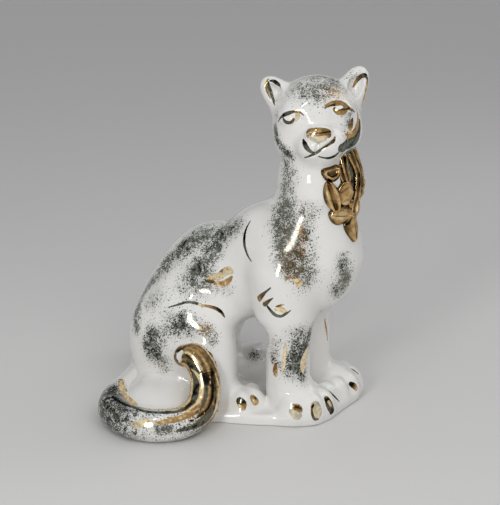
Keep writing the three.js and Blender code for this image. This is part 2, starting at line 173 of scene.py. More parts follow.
def strand(points, steps, closed=False):
    """Centripetal Catmull-Rom through the points, with a number of steps from each to the next."""
    pts = np.array(points, float)
    count = len(pts)
    if closed:
        ring = np.vstack([pts[-1:], pts, pts[:2]])
    else:
        ring = np.vstack([2 * pts[0] - pts[1], pts, 2 * pts[-1] - pts[-2]])
    made = []
    for i in range(count if closed else count - 1):
        x0, x1, x2, x3 = ring[i:i + 4]
        d0, d1, d2 = (np.linalg.norm((b - a)[:3]) ** 0.5 for a, b in ((x0, x1), (x1, x2), (x2, x3)))
        t1 = ((x1 - x0) / d0 - (x2 - x0) / (d0 + d1) + (x2 - x1) / d1) * d1
        t2 = ((x2 - x1) / d1 - (x3 - x1) / (d1 + d2) + (x3 - x2) / d2) * d1
        t = (np.arange(steps) / steps)[:, None]
        made.append(x1 + t1 * t + (3 * (x2 - x1) - 2 * t1 - t2) * t ** 2 + (2 * (x1 - x2) + t1 + t2) * t ** 3)
    if not closed:
        made.append(pts[-1:])
    return np.vstack(made)


def hose(stations, steps=4):
    """A tube round a curve: each station is x, y, z and a radius. Far points take a rough distance."""
    line = strand(stations, steps)
    lo, hi = line[:, :3].min(0), line[:, :3].max(0)
    reach = line[:, 3].max()

    def field(p):
        far = outside_box(p, lo, hi)
        found = far - reach + 4
        near = np.nonzero(far < reach + 8)[0]
        q = p[near]
        best = np.full(len(near), 1e9)
        for a, b in zip(line, line[1:]):
            t, off = from_segment(q, a[:3], b[:3])
            best = np.minimum(best, length(off) - a[3] - t * (b[3] - a[3]))
        found[near] = best
        return found
    return field


def slab(outline, height, edge):
    """A flat slab up from zero, with its upper edge rounded."""
    ring = strand(outline, 6, closed=True)

    def field(p):
        flat = p[:, :2]
        away = np.maximum(outside_box(flat, ring.min(0), ring.max(0)), p[:, 2] - height)
        found = away.copy()
        near = np.nonzero(away < 14)[0]
        q = flat[near]
        best = np.full(len(near), 1e9)
        inside = np.zeros(len(near), bool)
        for a, b in zip(ring, np.roll(ring, -1, 0)):
            step = b - a
            best = np.minimum(best, length(from_segment(q, a, b)[1]))
            crosses = (a[1] > q[:, 1]) != (b[1] > q[:, 1])
            if step[1]:
                inside ^= crosses & (q[:, 0] < a[0] + step[0] * (q[:, 1] - a[1]) / step[1])
        side = np.where(inside, -best, best) + edge
        top = p[near, 2] - height + edge
        out = np.hypot(np.maximum(side, 0), np.maximum(top, 0))
        found[near] = out + np.minimum(np.maximum(side, top), 0) - edge
        return found
    return field


# Torso, neck and haunches
RUMP = egg((0, 36, 38), (44, 40, 48))
SEAT = egg((-2, 36, 12), (43, 41, 36))
BACK = egg((0, 16, 75), (35, 41, 38), (-38, 0, 0))
BELLY = egg((0, -12, 82), (28, 34, 26), (-20, 0, 0))
CHEST = egg((0, -38, 98), (35, 36, 36), (10, 0, 0))
BREAST = egg((3, -57, 98), (23, 23, 28), (6, 0, 0))
WITHERS = egg((0, -16, 108), (22, 20, 20))
NECK_BASE = limb((1, -49, 118), (0, -55, 149), 33, 24)
NECK = limb((0, -55, 149), (-2, -52, 176), 24, 20)
GROIN = egg((20, -7, 22), (27, 23, 27))
HIPS = blend(18, blend(10, RUMP, SEAT), BACK)
TRUNK = blend(14, HIPS, BELLY, blend(18, CHEST, BREAST), NECK_BASE, WITHERS)
TORSO = scoop(8, blend(8, TRUNK, NECK), GROIN)
RIGHT_HAUNCH = blend(
    10, egg((-HAUNCH_OFFSET, 24, 40), (18, 36, 34), (20, 0, 0)),
    limb((-HAUNCH_OFFSET - 2, 0, 42), (-HAUNCH_OFFSET - 4, -6, 18), 14, 12))
LEFT_HAUNCH = egg((HAUNCH_OFFSET - 2, 49, 40), (18, 27, 36), (8, 0, 0))
ARCH = egg((0, -11.4, 39.2), (10, 75, 9.8), (-21, 0, -62.7))
HINDQUARTERS = scoop(6, scoop(8, blend(14, TORSO, RIGHT_HAUNCH, LEFT_HAUNCH), GROIN), ARCH)


def toes(spots, half):
    """Rounded toes at spots x, y along a paw's front, all of one half size."""
    return [egg((x, y, PLINTH_HEIGHT + 3), half) for x, y in spots]


def foreleg(side, top, back, paw_x, paw_y, toe_spots):
    x = side * LEG_OFFSET
    middle = (top + LEG_RADIUS) / 2 + 0.5
    shoulder = limb((x - side * 2, -42, 92), (x - side, -43, 70), top, middle)
    leg = hose([(x - side * 2, -43, 92, top), (x - side, back - 45, 66, middle),
                (x, back - 47, 42, LEG_RADIUS), (x, back - 47, 20, LEG_RADIUS)], 5)
    paw = egg((paw_x, paw_y, PLINTH_HEIGHT + 3), PAW_HALF)
    return shoulder, blend(3.5, blend(9, leg, paw), *toes(toe_spots, (6.2, 7.5, 8.5)))


RIGHT_SHOULDER, RIGHT_FORELEG = foreleg(
    -1, SHOULDER_RADIUS, 0, -22, -57, [(-36, -56), (-28.5, -65), (-17.5, -68.5), (-6.5, -65.5)])
LEFT_SHOULDER, LEFT_FORELEG = foreleg(
    0.6, SHOULDER_RADIUS - 1, 3.5, 17, -60, [(4, -69), (15, -72), (26, -69.5), (32, -61)])


def hind_foot(side, heel, radius, toe_spots):
    height = PLINTH_HEIGHT + 1.5
    sole = limb((side * (HAUNCH_OFFSET + 3), heel, height),
                (side * (HAUNCH_OFFSET + 2), heel - HIND_FOOT_LENGTH, height), radius, radius - 1)
    return blend(3.5, sole, *toes(toe_spots, (radius * 0.5, radius * 0.55, radius * 0.7)))


# Head, in its own frame: it looks along -y, and +x is the animal's left
HEAD_SPIN = turned(HEAD_POSE)


def with_head(*fields):
    """The same fields, given in the head's frame, taken over to the figurine's."""
    def carried(field):
        return lambda p: field((p - HEAD_CENTRE) @ HEAD_SPIN)
    return [carried(field) for field in fields]


def boxed(field, lo, hi, margin=12):
    """The same field, worked out only near its box. Farther off, the distance to the box will do."""
    def near_field(p):
        found = outside_box(p, lo, hi)
        near = np.nonzero(found < margin)[0]
        found[near] = field(p[near])
        return found
    return near_field


def both_sides(make):
    return [make(-1), make(1)]


SKULL = egg((0, 1, 3), (25, 27, 23.5))
CHEEKS = both_sides(lambda s: egg((s * 14, -7, -7), (12.5, 14, 13.5)))
BROWS = both_sides(lambda s: egg((s * 12, -16, 8), (10, 9, 7)))
MUZZLE = egg((0, -19, -10.5), (13, 13, 9.5))
LIPS = both_sides(lambda s: egg((s * 6, -24, -11), (8, 8, 7.5)))
CHIN = egg((0, -17, -17), (11, 11, 8))
BRIDGE = limb((0, -16, 3), (0, -26, -6), 8, 7)
NOSE = egg((-0.5, -29.5, -3), (8.2, 4.8, 5.4), (-12, 0, 0))
EYE_SOCKETS = both_sides(lambda s: egg((s * 15.5, -30, 7.5), (8.5, 7, 5), (0, s * 12, s * 20)))
EYEBALLS = both_sides(lambda s: egg((s * 15.3, -20.5, 7.2), (6.5, 4.6, 4.4), (0, s * 12, s * 25)))
MOUTH_LINE = hose([
    (-11, -27.5, -16.5, 0.5), (-4, -32.4, -13.6, 0.8), (2, -33.5, -10.4, 0.7), (9, -30.8, -7, 0.4)])
LIP_FOLD = hose([(-1.5, -32.6, -8, 0.5), (-2.8, -33.3, -10.5, 0.7), (-4, -32.4, -13.4, 0.7)])
FACE = blend(5, blend(9, SKULL, *CHEEKS), blend(6, *BROWS, SKULL), BRIDGE, MUZZLE, *LIPS, CHIN)
HEAD, = with_head(scoop(1.5, blend(1.6, blend(1.6, scoop(4, FACE, *EYE_SOCKETS), NOSE), *EYEBALLS),
                        MOUTH_LINE, LIP_FOLD))


def ear(side, spread, height):
    shell = blend(6, egg((side * spread, 4, height), (8.5, 6.5, 14), (0, side * 36, 0)),
                  egg((side * (spread - 3), 4, height - 7), (8, 8, 12), (0, side * 10, 0)))
    cup = egg((side * (spread + 0.5), -3, height + 0.5), (5, 6, 10.5), (0, side * 36, 0))
    return with_head(scoop(1.5, shell, cup))[0]


# Every casting's own field. The skin of the fired figurine is all of them, melted together
CASTINGS = {
    "plinth": blend(10, slab(PLINTH_OUTLINE, PLINTH_HEIGHT, PLINTH_EDGE_RADIUS),
                    egg((-50, 26, 2), (40, 33, 20))),
    "body": scoop(6, blend(10, HINDQUARTERS, RIGHT_SHOULDER, LEFT_SHOULDER), ARCH),
    "head": boxed(HEAD, (-40, -92, 150), (36, -16, 222)),
    "right_ear": boxed(ear(-1, 20, 18.5), (-40, -80, 180), (40, -20, 225)),
    "left_ear": boxed(ear(1, 25, 16), (-45, -90, 180), (40, -20, 225)),
    "right_foreleg": boxed(scoop(6, RIGHT_FORELEG, ARCH), (-45, -80, 0), (0, -20, 112)),
    "left_foreleg": boxed(scoop(6, LEFT_FORELEG, ARCH), (-5, -84, 0), (42, -20, 112)),
    "right_hind_foot": boxed(hind_foot(-1, 4, 12, [(-44, -25), (-35.5, -28.5), (-29, -24)]),
                             (-56, -38, 0), (-22, 20, 24)),
    "left_hind_foot": boxed(hind_foot(1, 36, 8, [(43, 6), (38, 3.5), (33, 6)]), (26, 0, 0), (50, 48, 20)),
    "tail": hose(TAIL_PATH, 8),
}
MELTS = {"head": 7, "right_ear": 4, "left_ear": 4, "right_foreleg": 8, "left_foreleg": 8,
         "right_hind_foot": 5, "left_hind_foot": 4, "tail": 2}


def skin_field(p):
    whole = melt(CASTINGS["body"](p), CASTINGS["plinth"](p), 8)
    for name, softness in MELTS.items():
        whole = melt(whole, CASTINGS[name](p), softness)
    return -melt(-whole, p[:, 2], 1.6)


# Skin: surface nets on a fine grid near the surface, then each point is moved onto the field
def slope_of(field, p, here, nudge=0.02):
    return np.stack([field(p + step) - here for step in np.eye(3) * nudge], 1) / nudge


def cells_of(*counts):
    """Every cell of a grid with these counts along its axes."""
    return np.stack(np.meshgrid(*[np.arange(n) for n in counts], indexing="ij"), -1).reshape(-1, 3)


def cells_near(field, lo, hi, pitch):
    """Corners of grid cells that the surface may cross, found on a coarse grid and then split."""
    sizes = (pitch * 6, pitch * 2, pitch)
    shape = np.ceil((hi - lo) / sizes[0]).astype(int)
    cells = cells_of(*shape)
    for size, finer in zip(sizes, (3, 2, 1)):
        middle = lo + (cells + 0.5) * size
        value = field(middle)
        cells = cells[np.abs(value) < size * 1.3 + (5 if finer == 3 else 0.3)]
        if finer > 1:
            cells = (cells[:, None, :] * finer + cells_of(finer, finer, finer)).reshape(-1, 3)
    return cells, shape * 6


def skin_mesh(field, lo, hi, pitch):
    cells, shape = cells_near(field, lo, hi, pitch)
    corners = cells_of(2, 2, 2)
    wide = shape + 2
    key = lambda c: (c[..., 0] * wide[1] + c[..., 1]) * wide[2] + c[..., 2]
    spots, back = np.unique(key(cells[:, None, :] + corners), return_inverse=True)
    grid = np.stack([spots // (wide[1] * wide[2]), spots // wide[2] % wide[1], spots % wide[2]], -1)
    value = field(lo + grid * pitch)
    at_corner = value[back.reshape(len(cells), 8)]
    crossed = (at_corner.min(1) < 0) & (at_corner.max(1) >= 0)
    cells, at_corner = cells[crossed], at_corner[crossed]
    total, hits = np.zeros((len(cells), 3)), np.zeros(len(cells))
    for a in range(8):
        for b in range(a + 1, 8):
            if np.abs(corners[a] - corners[b]).sum() != 1:
                continue
            va, vb = at_corner[:, a], at_corner[:, b]
            cut = (va < 0) != (vb < 0)
            t = np.where(cut, va / np.where(cut, va - vb, 1), 0)[:, None]
            total += cut[:, None] * (corners[a] + t * (corners[b] - corners[a]))
            hits += cut
    points = lo + (cells + total / hits[:, None]) * pitch
    order = np.argsort(key(cells))
    keys = key(cells)[order]

    def cell_at(c):
        place = np.clip(np.searchsorted(keys, key(c)), 0, len(keys) - 1)
        return order[place], keys[place] == key(c)
    quads = []
    for axis in range(3):
        far = 4 >> axis
        starts = np.nonzero((at_corner[:, 0] < 0) != (at_corner[:, far] < 0))[0]
        u, v = np.eye(3, dtype=int)[(axis + 1) % 3], np.eye(3, dtype=int)[(axis + 2) % 3]
        here = cells[starts]
        ring, whole = [starts], np.ones(len(starts), bool)
        for step in (u, u + v, v):
            index, found = cell_at(here - step)
            ring.append(index)
            whole &= found
        quad = np.stack(ring, 1)[whole]
        outward = at_corner[starts][whole][:, 0] < 0
        quads.append(np.where(outward[:, None], quad, quad[:, ::-1]))
    return points, np.vstack(quads)


def skin_slope(points):
    """The skin's field at the points, its slope there, and the slope's square."""
    here = skin_field(points)
    slope = slope_of(skin_field, points, here)
    return here, slope, np.maximum(np.einsum("ij,ij->i", slope, slope), 0.05)


def settle(points, rounds=2, limit=0.6):
    """Moves points onto the skin and gives the outward direction there."""
    for turn in range(rounds + 1):
        here, slope, steep = skin_slope(points)
        if turn < rounds:
            points = points - slope * np.clip(here / steep, -limit, limit)[:, None]
    return points, slope / np.sqrt(steep)[:, None]


def split_edges(points, triangles, marked, edges, sides):
    """Splits every marked edge at its middle, so that no gap opens between neighbours."""
    middle = np.full(len(edges), -1)
    middle[marked] = len(points) + np.arange(marked.sum())
    points = np.vstack([points, points[edges[marked]].mean(1)])
    a, b, c = triangles.T
    ab, bc, ca = middle[sides].T
    kinds = (ab >= 0) * 1 + (bc >= 0) * 2 + (ca >= 0) * 4
    made = [triangles[kinds == 0]]
    for turn in range(3):
        (p, q, r), (pq, qr, _) = np.roll([a, b, c], -turn, 0), np.roll([ab, bc, ca], -turn, 0)
        only = kinds == (1, 2, 4)[turn]
        made += [np.stack(f, 1)[only] for f in ((p, pq, r), (pq, q, r))]
        two = kinds == (3, 6, 5)[turn]
        made += [np.stack(f, 1)[two] for f in ((p, pq, r), (pq, qr, r), (pq, q, qr))]
    full = kinds == 7
    made += [np.stack(f, 1)[full] for f in ((a, ab, ca), (ab, b, bc), (bc, c, ca), (ab, bc, ca))]
    return points, np.vstack(made)


def sides_of(triangles):
    """Every triangle's three sides, one to a row, from point to point as the triangle turns."""
    return np.stack([triangles, np.roll(triangles, -1, 1)], -1).reshape(-1, 2)


def on_skin(points):
    return settle(points, 1)[0]


def refine(points, triangles, wanted, rounds, place=on_skin):
    """Splits edges that are longer than the size wanted at their middle, and puts the new points in place."""
    for _ in range(rounds):
        pairs = np.sort(sides_of(triangles), 1)
        keys = pairs[:, 0] * np.int64(len(points)) + pairs[:, 1]
        _, first, sides = np.unique(keys, return_index=True, return_inverse=True)
        edges, sides = pairs[first], sides.reshape(-1, 3)
        span = length(points[edges[:, 0]] - points[edges[:, 1]])
        marked = span > 1.45 * wanted(points[edges].mean(1))
        before = len(points)
        points, triangles = split_edges(points, triangles, marked, edges, sides)
        points[before:] = place(points[before:])
    return points, triangles


def owners_of(points, triangles):
    """Which casting each triangle belongs to: the one whose own field is lowest, with strays smoothed."""
    names = list(CASTINGS)
    nearest = np.argmin(np.stack([CASTINGS[name](points) for name in names]), 0)
    owner = nearest[triangles[:, 0]]
    for _ in range(6):
        votes = np.zeros((len(points), len(names)), np.float32)
        for corner in range(3):
            np.add.at(votes, (triangles[:, corner], owner), 1)
        owner = np.argmax(votes[triangles].sum(1), 1)
    return names, owner


def rims_of(triangles, count):
    """The open rims of a patch, each as a loop of points in the order that a cap's faces follow."""
    ways = sides_of(triangles)
    keys = ways.min(1) * np.int64(count) + ways.max(1)
    edges, place = np.unique(keys, return_inverse=True)
    net = np.bincount(place.reshape(-1), np.sign(ways[:, 1] - ways[:, 0]), len(edges)).astype(int)
    follow = {}
    for edge, turns in zip(edges[net != 0].tolist(), net[net != 0].tolist()):
        low, high = divmod(edge, count)
        start, end = (high, low) if turns > 0 else (low, high)
        follow.setdefault(start, []).extend([end] * abs(turns))
    while follow:
        here, loop = next(iter(follow)), []
        while here in follow:
            loop.append(here)
            onward = follow[here].pop()
            if not follow[here]:
                del follow[here]
            here = onward
        yield loop


# Caps: how deep they lie, how far apart their points are, and the rim points to one point of the ring
CAP_DEPTH = 1.2
CAP_SPACING = 4.5
SKIRT_STEP = 5


def under_skin(points):
    """The same points, moved inward where they lie outside the clay or too close under its skin."""
    for _ in range(4):
        here, slope, steep = skin_slope(points)
        points = points - slope * (np.maximum(here + CAP_DEPTH, 0) / steep)[:, None]
    return points


def cap_of(rim, points, first):
    """Closes one rim: a skirt down to a coarser ring under the skin, whose points start at first, and a
    lid across that ring. Gives the ring's points and the triangles."""
    step = SKIRT_STEP if len(rim) > 4 * SKIRT_STEP else 1
    ring = under_skin(points[rim[::step]])
    low = first + np.arange(len(rim)) // step
    rim_after, low_after = np.roll(rim, -1), np.roll(low, -1)
    turned_on = low != low_after
    skirt = [np.stack([rim, rim_after, low], 1), np.stack([rim_after, low_after, low], 1)[turned_on]]
    lid = np.array(tessellate_polygon([[Vector(p) for p in ring.tolist()]])).reshape(-1, 3)
    steps = (np.roll(lid, -1, 1) - lid) % len(ring)
    if (steps == 1).sum() < (steps == len(ring) - 1).sum():
        lid = lid[:, ::-1]
    return ring, np.vstack([*skirt, first + lid])


def closed_part(points, triangles):
    """One casting cut out of the skin, each open rim closed by a cap that dips into the clay. Gives its
    points, its triangles, and which of the skin's points it begins with."""
    used, index = np.unique(triangles, return_inverse=True)
    triangles = index.reshape(-1, 3)
    points = points[used]
    caps = []
    for loop in list(rims_of(triangles, len(points))):
        if len(loop) > 2:
            ring, cap = cap_of(np.array(loop), points, len(points))
            points = np.vstack([points, ring])
            caps.append(cap)
    if caps:
        spacing = lambda p: np.full(len(p), CAP_SPACING)
        points, cap = refine(points, np.vstack(caps), spacing, 6, under_skin)
        triangles = np.vstack([triangles, cap])
    return points, triangles, used


def linked(name, data):
    made = bpy.data.objects.new(name, data)
    bpy.context.scene.collection.objects.link(made)
    return made


def store(mesh, attributes):
    for label, values in (attributes or {}).items():
        layer = mesh.attributes.new(label, "FLOAT", "POINT")
        layer.data.foreach_set("value", np.asarray(values, np.float32))


def mesh_object(name, points, triangles, normals=None, attributes=None):
    """A finished object: points in millimetres, faces pointing out, at the origin."""
    mesh = bpy.data.meshes.new(name)
    count = len(triangles)
    mesh.vertices.add(len(points))
    mesh.vertices.foreach_set("co", (np.asarray(points) * MM).astype(np.float32).ravel())
    mesh.loops.add(3 * count)
    mesh.loops.foreach_set("vertex_index", np.asarray(triangles, np.int32).ravel())
    mesh.polygons.add(count)
    mesh.polygons.foreach_set("loop_start", np.arange(0, 3 * count, 3, dtype=np.int32))
    mesh.update(calc_edges=True)
    mesh.polygons.foreach_set("use_smooth", np.ones(count, bool))
    store(mesh, attributes)
    if normals is not None:
        mesh.normals_split_custom_set_from_vertices(np.asarray(normals, float).tolist())
    return linked(name, mesh)


# Paint: where the brush and the spray gun went, with painted highlights, painted reflections and painted
# shade among the marks, read off the photograph's pixels and carried onto the skin along the camera's sight
# lines. Lustre tones run from 0, dark, over pewter, brown, bronze and gold to pale gold near 0.9 and silver
# at 1

# A sight line's march: where it starts and ends, in millimetres from the camera, and its steps
SIGHT_START = 560.0
SIGHT_END = 1100
SIGHT_STEPS = 90


def seen_at(pixels):
    """Where the camera's sight lines through these pixels meet the skin."""
    eye = np.array(CAMERA_AT)
    forward = unit(CAMERA_LOOKS_AT - eye)
    right = unit(np.cross(forward, (0, 0, 1)))
    across, down = (np.array(pixels, float).T - [[PHOTO_WIDTH / 2], [PHOTO_HEIGHT / 2]]) / FOCAL_PIXELS
    sight = forward + across[:, None] * right - down[:, None] * np.cross(right, forward)
    sight /= length(sight)[:, None]
    reach = np.full(len(sight), SIGHT_START)
    for _ in range(SIGHT_STEPS):
        reach += 0.85 * np.clip(skin_field(eye + sight * reach[:, None]), -2, 20)
        reach = np.minimum(reach, SIGHT_END)
    return eye + sight * reach[:, None]


# Brush strokes: u, v and half width in mm at each station, then the tone at both ends. Later strokes lie
# over earlier ones, and a stroke of the bare tone leaves the white glaze bare inside another, as a painted
# highlight. Strokes named glint, lit or highlight are painted highlights as well
BARE_HIGHLIGHT = -1
UNPAINTED = -4.0
BODY_STROKES = {
    "shoulder_line": (0.1, 0.15, [
        (250.3, 221, 0.4), (245.9, 229.8, 0.8), (244.2, 239.3, 1.1), (245.5, 249.6, 0.9), (248.5, 257, 0.6),
        (251.6, 261.4, 0.3)]),
    "thigh_line": (0.08, 0.12, [
        (168.2, 307.4, 0.3), (179.3, 304.3, 0.8), (188.2, 302, 0.9), (197.4, 303.7, 1)]),
    "thigh_line_end": (0.75, 0.25, [
        (204.6, 305.6, 0.8), (209.5, 306.5, 1), (216.2, 308.7, 1.2), (221.7, 312.6, 1), (224.5, 317, 0.5)]),
    "thigh_line_glint": (0.88, 0.88, [(199.4, 304.2, 1), (203, 306, 1)]),
    "thigh_glint": (0.88, 0.8, [(192.5, 325.5, 0.5), (197, 327, 0.8), (203, 330, 0.5)]),
    "elbow_lick_upper": (0.03, 0.62, [
        (270.5, 287.9, 0.4), (265.4, 292.2, 0.8), (261.7, 295.8, 1.5), (259.1, 298.8, 1.9)]),
    "elbow_lick_lower": (0.12, 0.55, [
        (272.7, 298.2, 0.4), (269.4, 300.6, 0.9), (266.4, 303, 1.4), (264.4, 304.4, 1.5)]),
    "elbow_peach": (0.85, 0.8, [(275.5, 309.5, 0.8), (280, 309, 1.7), (285, 311.6, 1.3)]),
    "elbow_fold_upper": (0.1, 0.8, [(276, 306.5, 0.4), (280, 305.5, 0.7), (284, 304.5, 0.3)]),
    "elbow_fold_lower": (0.05, 0.3, [
        (267.6, 306.6, 0.8), (271.5, 311.5, 1.1), (275.5, 315, 1.1), (280.5, 316.3, 0.9), (285.5, 314, 0.8),
        (290.5, 310.5, 0.3)]),
    # The flank splash is gold lustre, painted pale so that it shows a painted highlight
    "flank_splash": (0.9, 0.88, [
        (208.5, 279, 1), (213.5, 276.8, 2.2), (219, 276.6, 2.3), (224, 272.5, 2.6), (229, 270.5, 2.5),
        (232, 272, 1.3)]),
    "flank_splash_root": (0.45, 0.4, [(205.6, 280.4, 0.6), (209.6, 281.4, 1.2), (214, 282, 0.8)]),
    "flank_splash_foot": (0.74, 0.7, [
        (214, 283, 0.7), (220, 284, 1.7), (225, 283, 1.9), (229.4, 280, 1.6), (232, 276.6, 0.7)]),
    "chest_arc": (0.75, 0.7, [(285.2, 280.4, 0.3), (288.6, 277.6, 0.8), (295, 276.9, 0.4)]),
    "chest_blob": (0.8, 0.88, [(293, 281, 0.7), (297, 281.2, 1.6), (300, 283.6, 1.8), (297.6, 286, 1)]),
    "foreleg_dab": (0.65, 0.86, [
        (275.8, 364, 0.9), (275.2, 369, 1.7), (275.2, 372.5, 1.8), (275.8, 375.5, 1)]),
    "foreleg_stripe": (0.93, 0.9, [
        (285.4, 343, 0.5), (285, 350, 0.9), (284.3, 358, 1.1), (283.4, 366, 1.1), (282.4, 371, 0.6)]),
    "foreleg_leaf": (0.93, 0.9, [
        (308.3, 346.5, 0.6), (305.8, 353, 1.7), (304, 360, 2.5), (303.2, 366, 2.4), (303, 371.5, 1)]),
    "far_foreleg_line": (0.6, 0.7, [(324.9, 318.5, 0.4), (326.3, 329, 0.9), (327.5, 339.8, 0.6)]),
}
# On the tail's gold, the dark band, the outer line and the stroke underneath are painted reflections of the
# dark room, and the cream band, the pale patch, the outer rim and the bare oval at the tip are painted
# highlights
TAIL_STROKES = {
    "tail_seam": (0.8, 0.85, [
        (121, 380, 1.6), (122, 388, 2.4), (125, 396, 2.4), (132.5, 403, 1.9), (144, 407.4, 1.4),
        (157, 409.2, 1.2), (172.3, 409.2, 1.2), (183.8, 405.8, 1.2), (190.4, 398, 1.1), (191.9, 388.6, 0.9),
        (190.4, 378, 0.6), (187.5, 371, 0.4)]),
    "tail_seam_shade": (0.05, 0.1, [
        (112.5, 397, 1), (121.6, 403.2, 1.3), (133, 407, 1.1), (143.6, 411, 1.2), (157, 412.4, 1.3),
        (171.3, 412.2, 1.3), (181.8, 410, 1.3), (189, 405.8, 1.3), (195, 396, 2), (196.2, 385, 1.9),
        (193.5, 376, 1.2), (190.5, 369.5, 0.5)]),
    "tail_under": (0.08, 0.15, [
        (178, 430.5, 1), (190, 428, 1.6), (200, 423.5, 2.3), (209, 416, 2.6), (213, 408, 1.6)]),
    "tail_pale_highlight_patch": (0.88, 0.86, [(134, 425, 1.2), (139, 423.4, 1.9), (146, 422.6, 1.9), (151, 425, 1)]),
    "tail_orange_band": (0.72, 0.66, [
        (155, 423.4, 0.6), (165, 421.6, 1.4), (176, 419.6, 1.8), (186, 416, 1.8), (193, 411, 1.6),
        (199, 404, 1.3), (202.4, 396, 1)]),
    "tail_cream_highlight_band": (0.9, 0.88, [
        (191.8, 369.4, 0.5), (197, 374.5, 1.1), (200.8, 381, 1.3), (201.2, 389, 1.1), (200.2, 398, 1.3),
        (196.5, 404.4, 0.7)]),
    "tail_dark_reflection_band": (0.05, 0.12, [
        (187.6, 361.6, 1.3), (192, 366.4, 1.6), (199, 370.6, 1.1), (204.4, 378, 1.1), (206.2, 388, 0.9),
        (205.8, 398, 0.7), (202.4, 407, 0.5)]),
    "tail_outer_line": (0.05, 0.05, [
        (213.8, 377, 0.4), (215.6, 388, 0.7), (215.6, 400, 0.8), (213.4, 411, 0.9)]),
    "tail_outer_rim": (0.88, 0.8, [
        (215.5, 374, 0.5), (218.8, 386, 1), (219.3, 398, 1.2), (217.2, 411, 0.9)]),
    "tail_tip_line": (0.3, 0.1, [
        (184, 347.6, 0.4), (177.4, 350.6, 0.6), (174.8, 356.5, 0.7), (177.2, 362, 0.6), (183, 366.4, 0.5)]),
    "tail_tip_highlight": (BARE_HIGHLIGHT, BARE_HIGHLIGHT, [(181.4, 352.4, 1.6), (179, 356.2, 2.3), (179.6, 360, 1.7)]),
}
CLAW_STROKES = {
    "near_claw_inner": (0.97, 1, [(294, 411.4, 3.2), (297, 415.2, 3.2)]),
    "near_claw_inner_top": (0.76, 0.7, [(293.4, 406.2, 1.6), (297.4, 407.6, 2.3), (300.2, 410.4, 1.6)]),
    "near_claw_middle": (0.95, 1, [(315.6, 406, 3.2), (317.2, 412, 3.9), (316.4, 416.4, 2.8)]),
    "near_claw_middle_rim": (0.55, 0.1, [
        (313.4, 404, 0.7), (311.8, 409.5, 0.7), (312.6, 415.4, 0.8), (314.6, 419.2, 0.9),
        (318, 419.4, 0.7)]),
    "near_claw_outer": (0.5, 0.02, [(326.6, 399, 2), (329.2, 404.6, 3), (332, 411, 2.4)]),
    "near_claw_outer_lit": (0.85, 0.75, [(328.6, 401.6, 1), (330.8, 405.2, 1.2)]),
    "far_claw": (0.2, 0.75, [(350.8, 384, 1.6), (353.8, 385.8, 2), (356, 388.4, 1.6)]),
    "far_toe_line": (0.1, 0.2, [(351, 368.5, 0.3), (355, 371, 0.7), (358.5, 374, 0.3)]),
    "far_toe_groove": (0.05, 0.1, [(328.6, 390.6, 0.3), (334, 396, 0.7), (339.2, 401.3, 0.3)]),
    "hind_claw_left": (0.1, 0.85, [(239.6, 401, 2.4), (242, 404, 2.9), (242.6, 408, 2)]),
    "hind_claw_left_lit": (0.88, 0.9, [(238.6, 405.2, 0.9), (242.4, 408.8, 1.2)]),
    "hind_claw_right": (0.62, 0.75, [(253, 398.6, 2.4), (255.4, 401.6, 2.5)]),
    "hind_claw_right_lit": (0.9, 0.9, [(253.4, 400.2, 0.8), (254.2, 401, 0.8)]),
}
EAR_STROKES = {
    "left_ear_edge": (0.72, 0.66, [
        (268.5, 78.8, 0.5), (266.6, 82.4, 0.7), (266.2, 87, 0.8), (267.8, 92.6, 0.8), (270.2, 97.6, 0.6)]),
    "left_ear_front": (0.08, 0.3, [
        (268.4, 82, 0.5), (269, 87, 1.1), (270.8, 92.5, 1.3), (272.8, 98.5, 1), (274.8, 104.8, 0.4)]),
    "left_ear_top": (0.03, 0.03, [
        (270, 80.6, 0.6), (274.7, 81.4, 1.2), (278.2, 84.6, 1.2), (280.8, 88, 0.3)]),
    "right_ear_top": (0.6, 0.03, [
        (353, 87, 0.5), (355.4, 82.4, 1), (358.8, 78, 1.4), (362.6, 75.6, 1.4), (366, 75.8, 1.3),
        (366.8, 79, 0.5)]),
    "right_ear_rim": (0.7, 0.74, [
        (367.6, 77.6, 0.6), (367.2, 84, 1.1), (365.8, 91, 1.1), (363.8, 99, 1.1), (361.6, 107, 0.6)]),
}
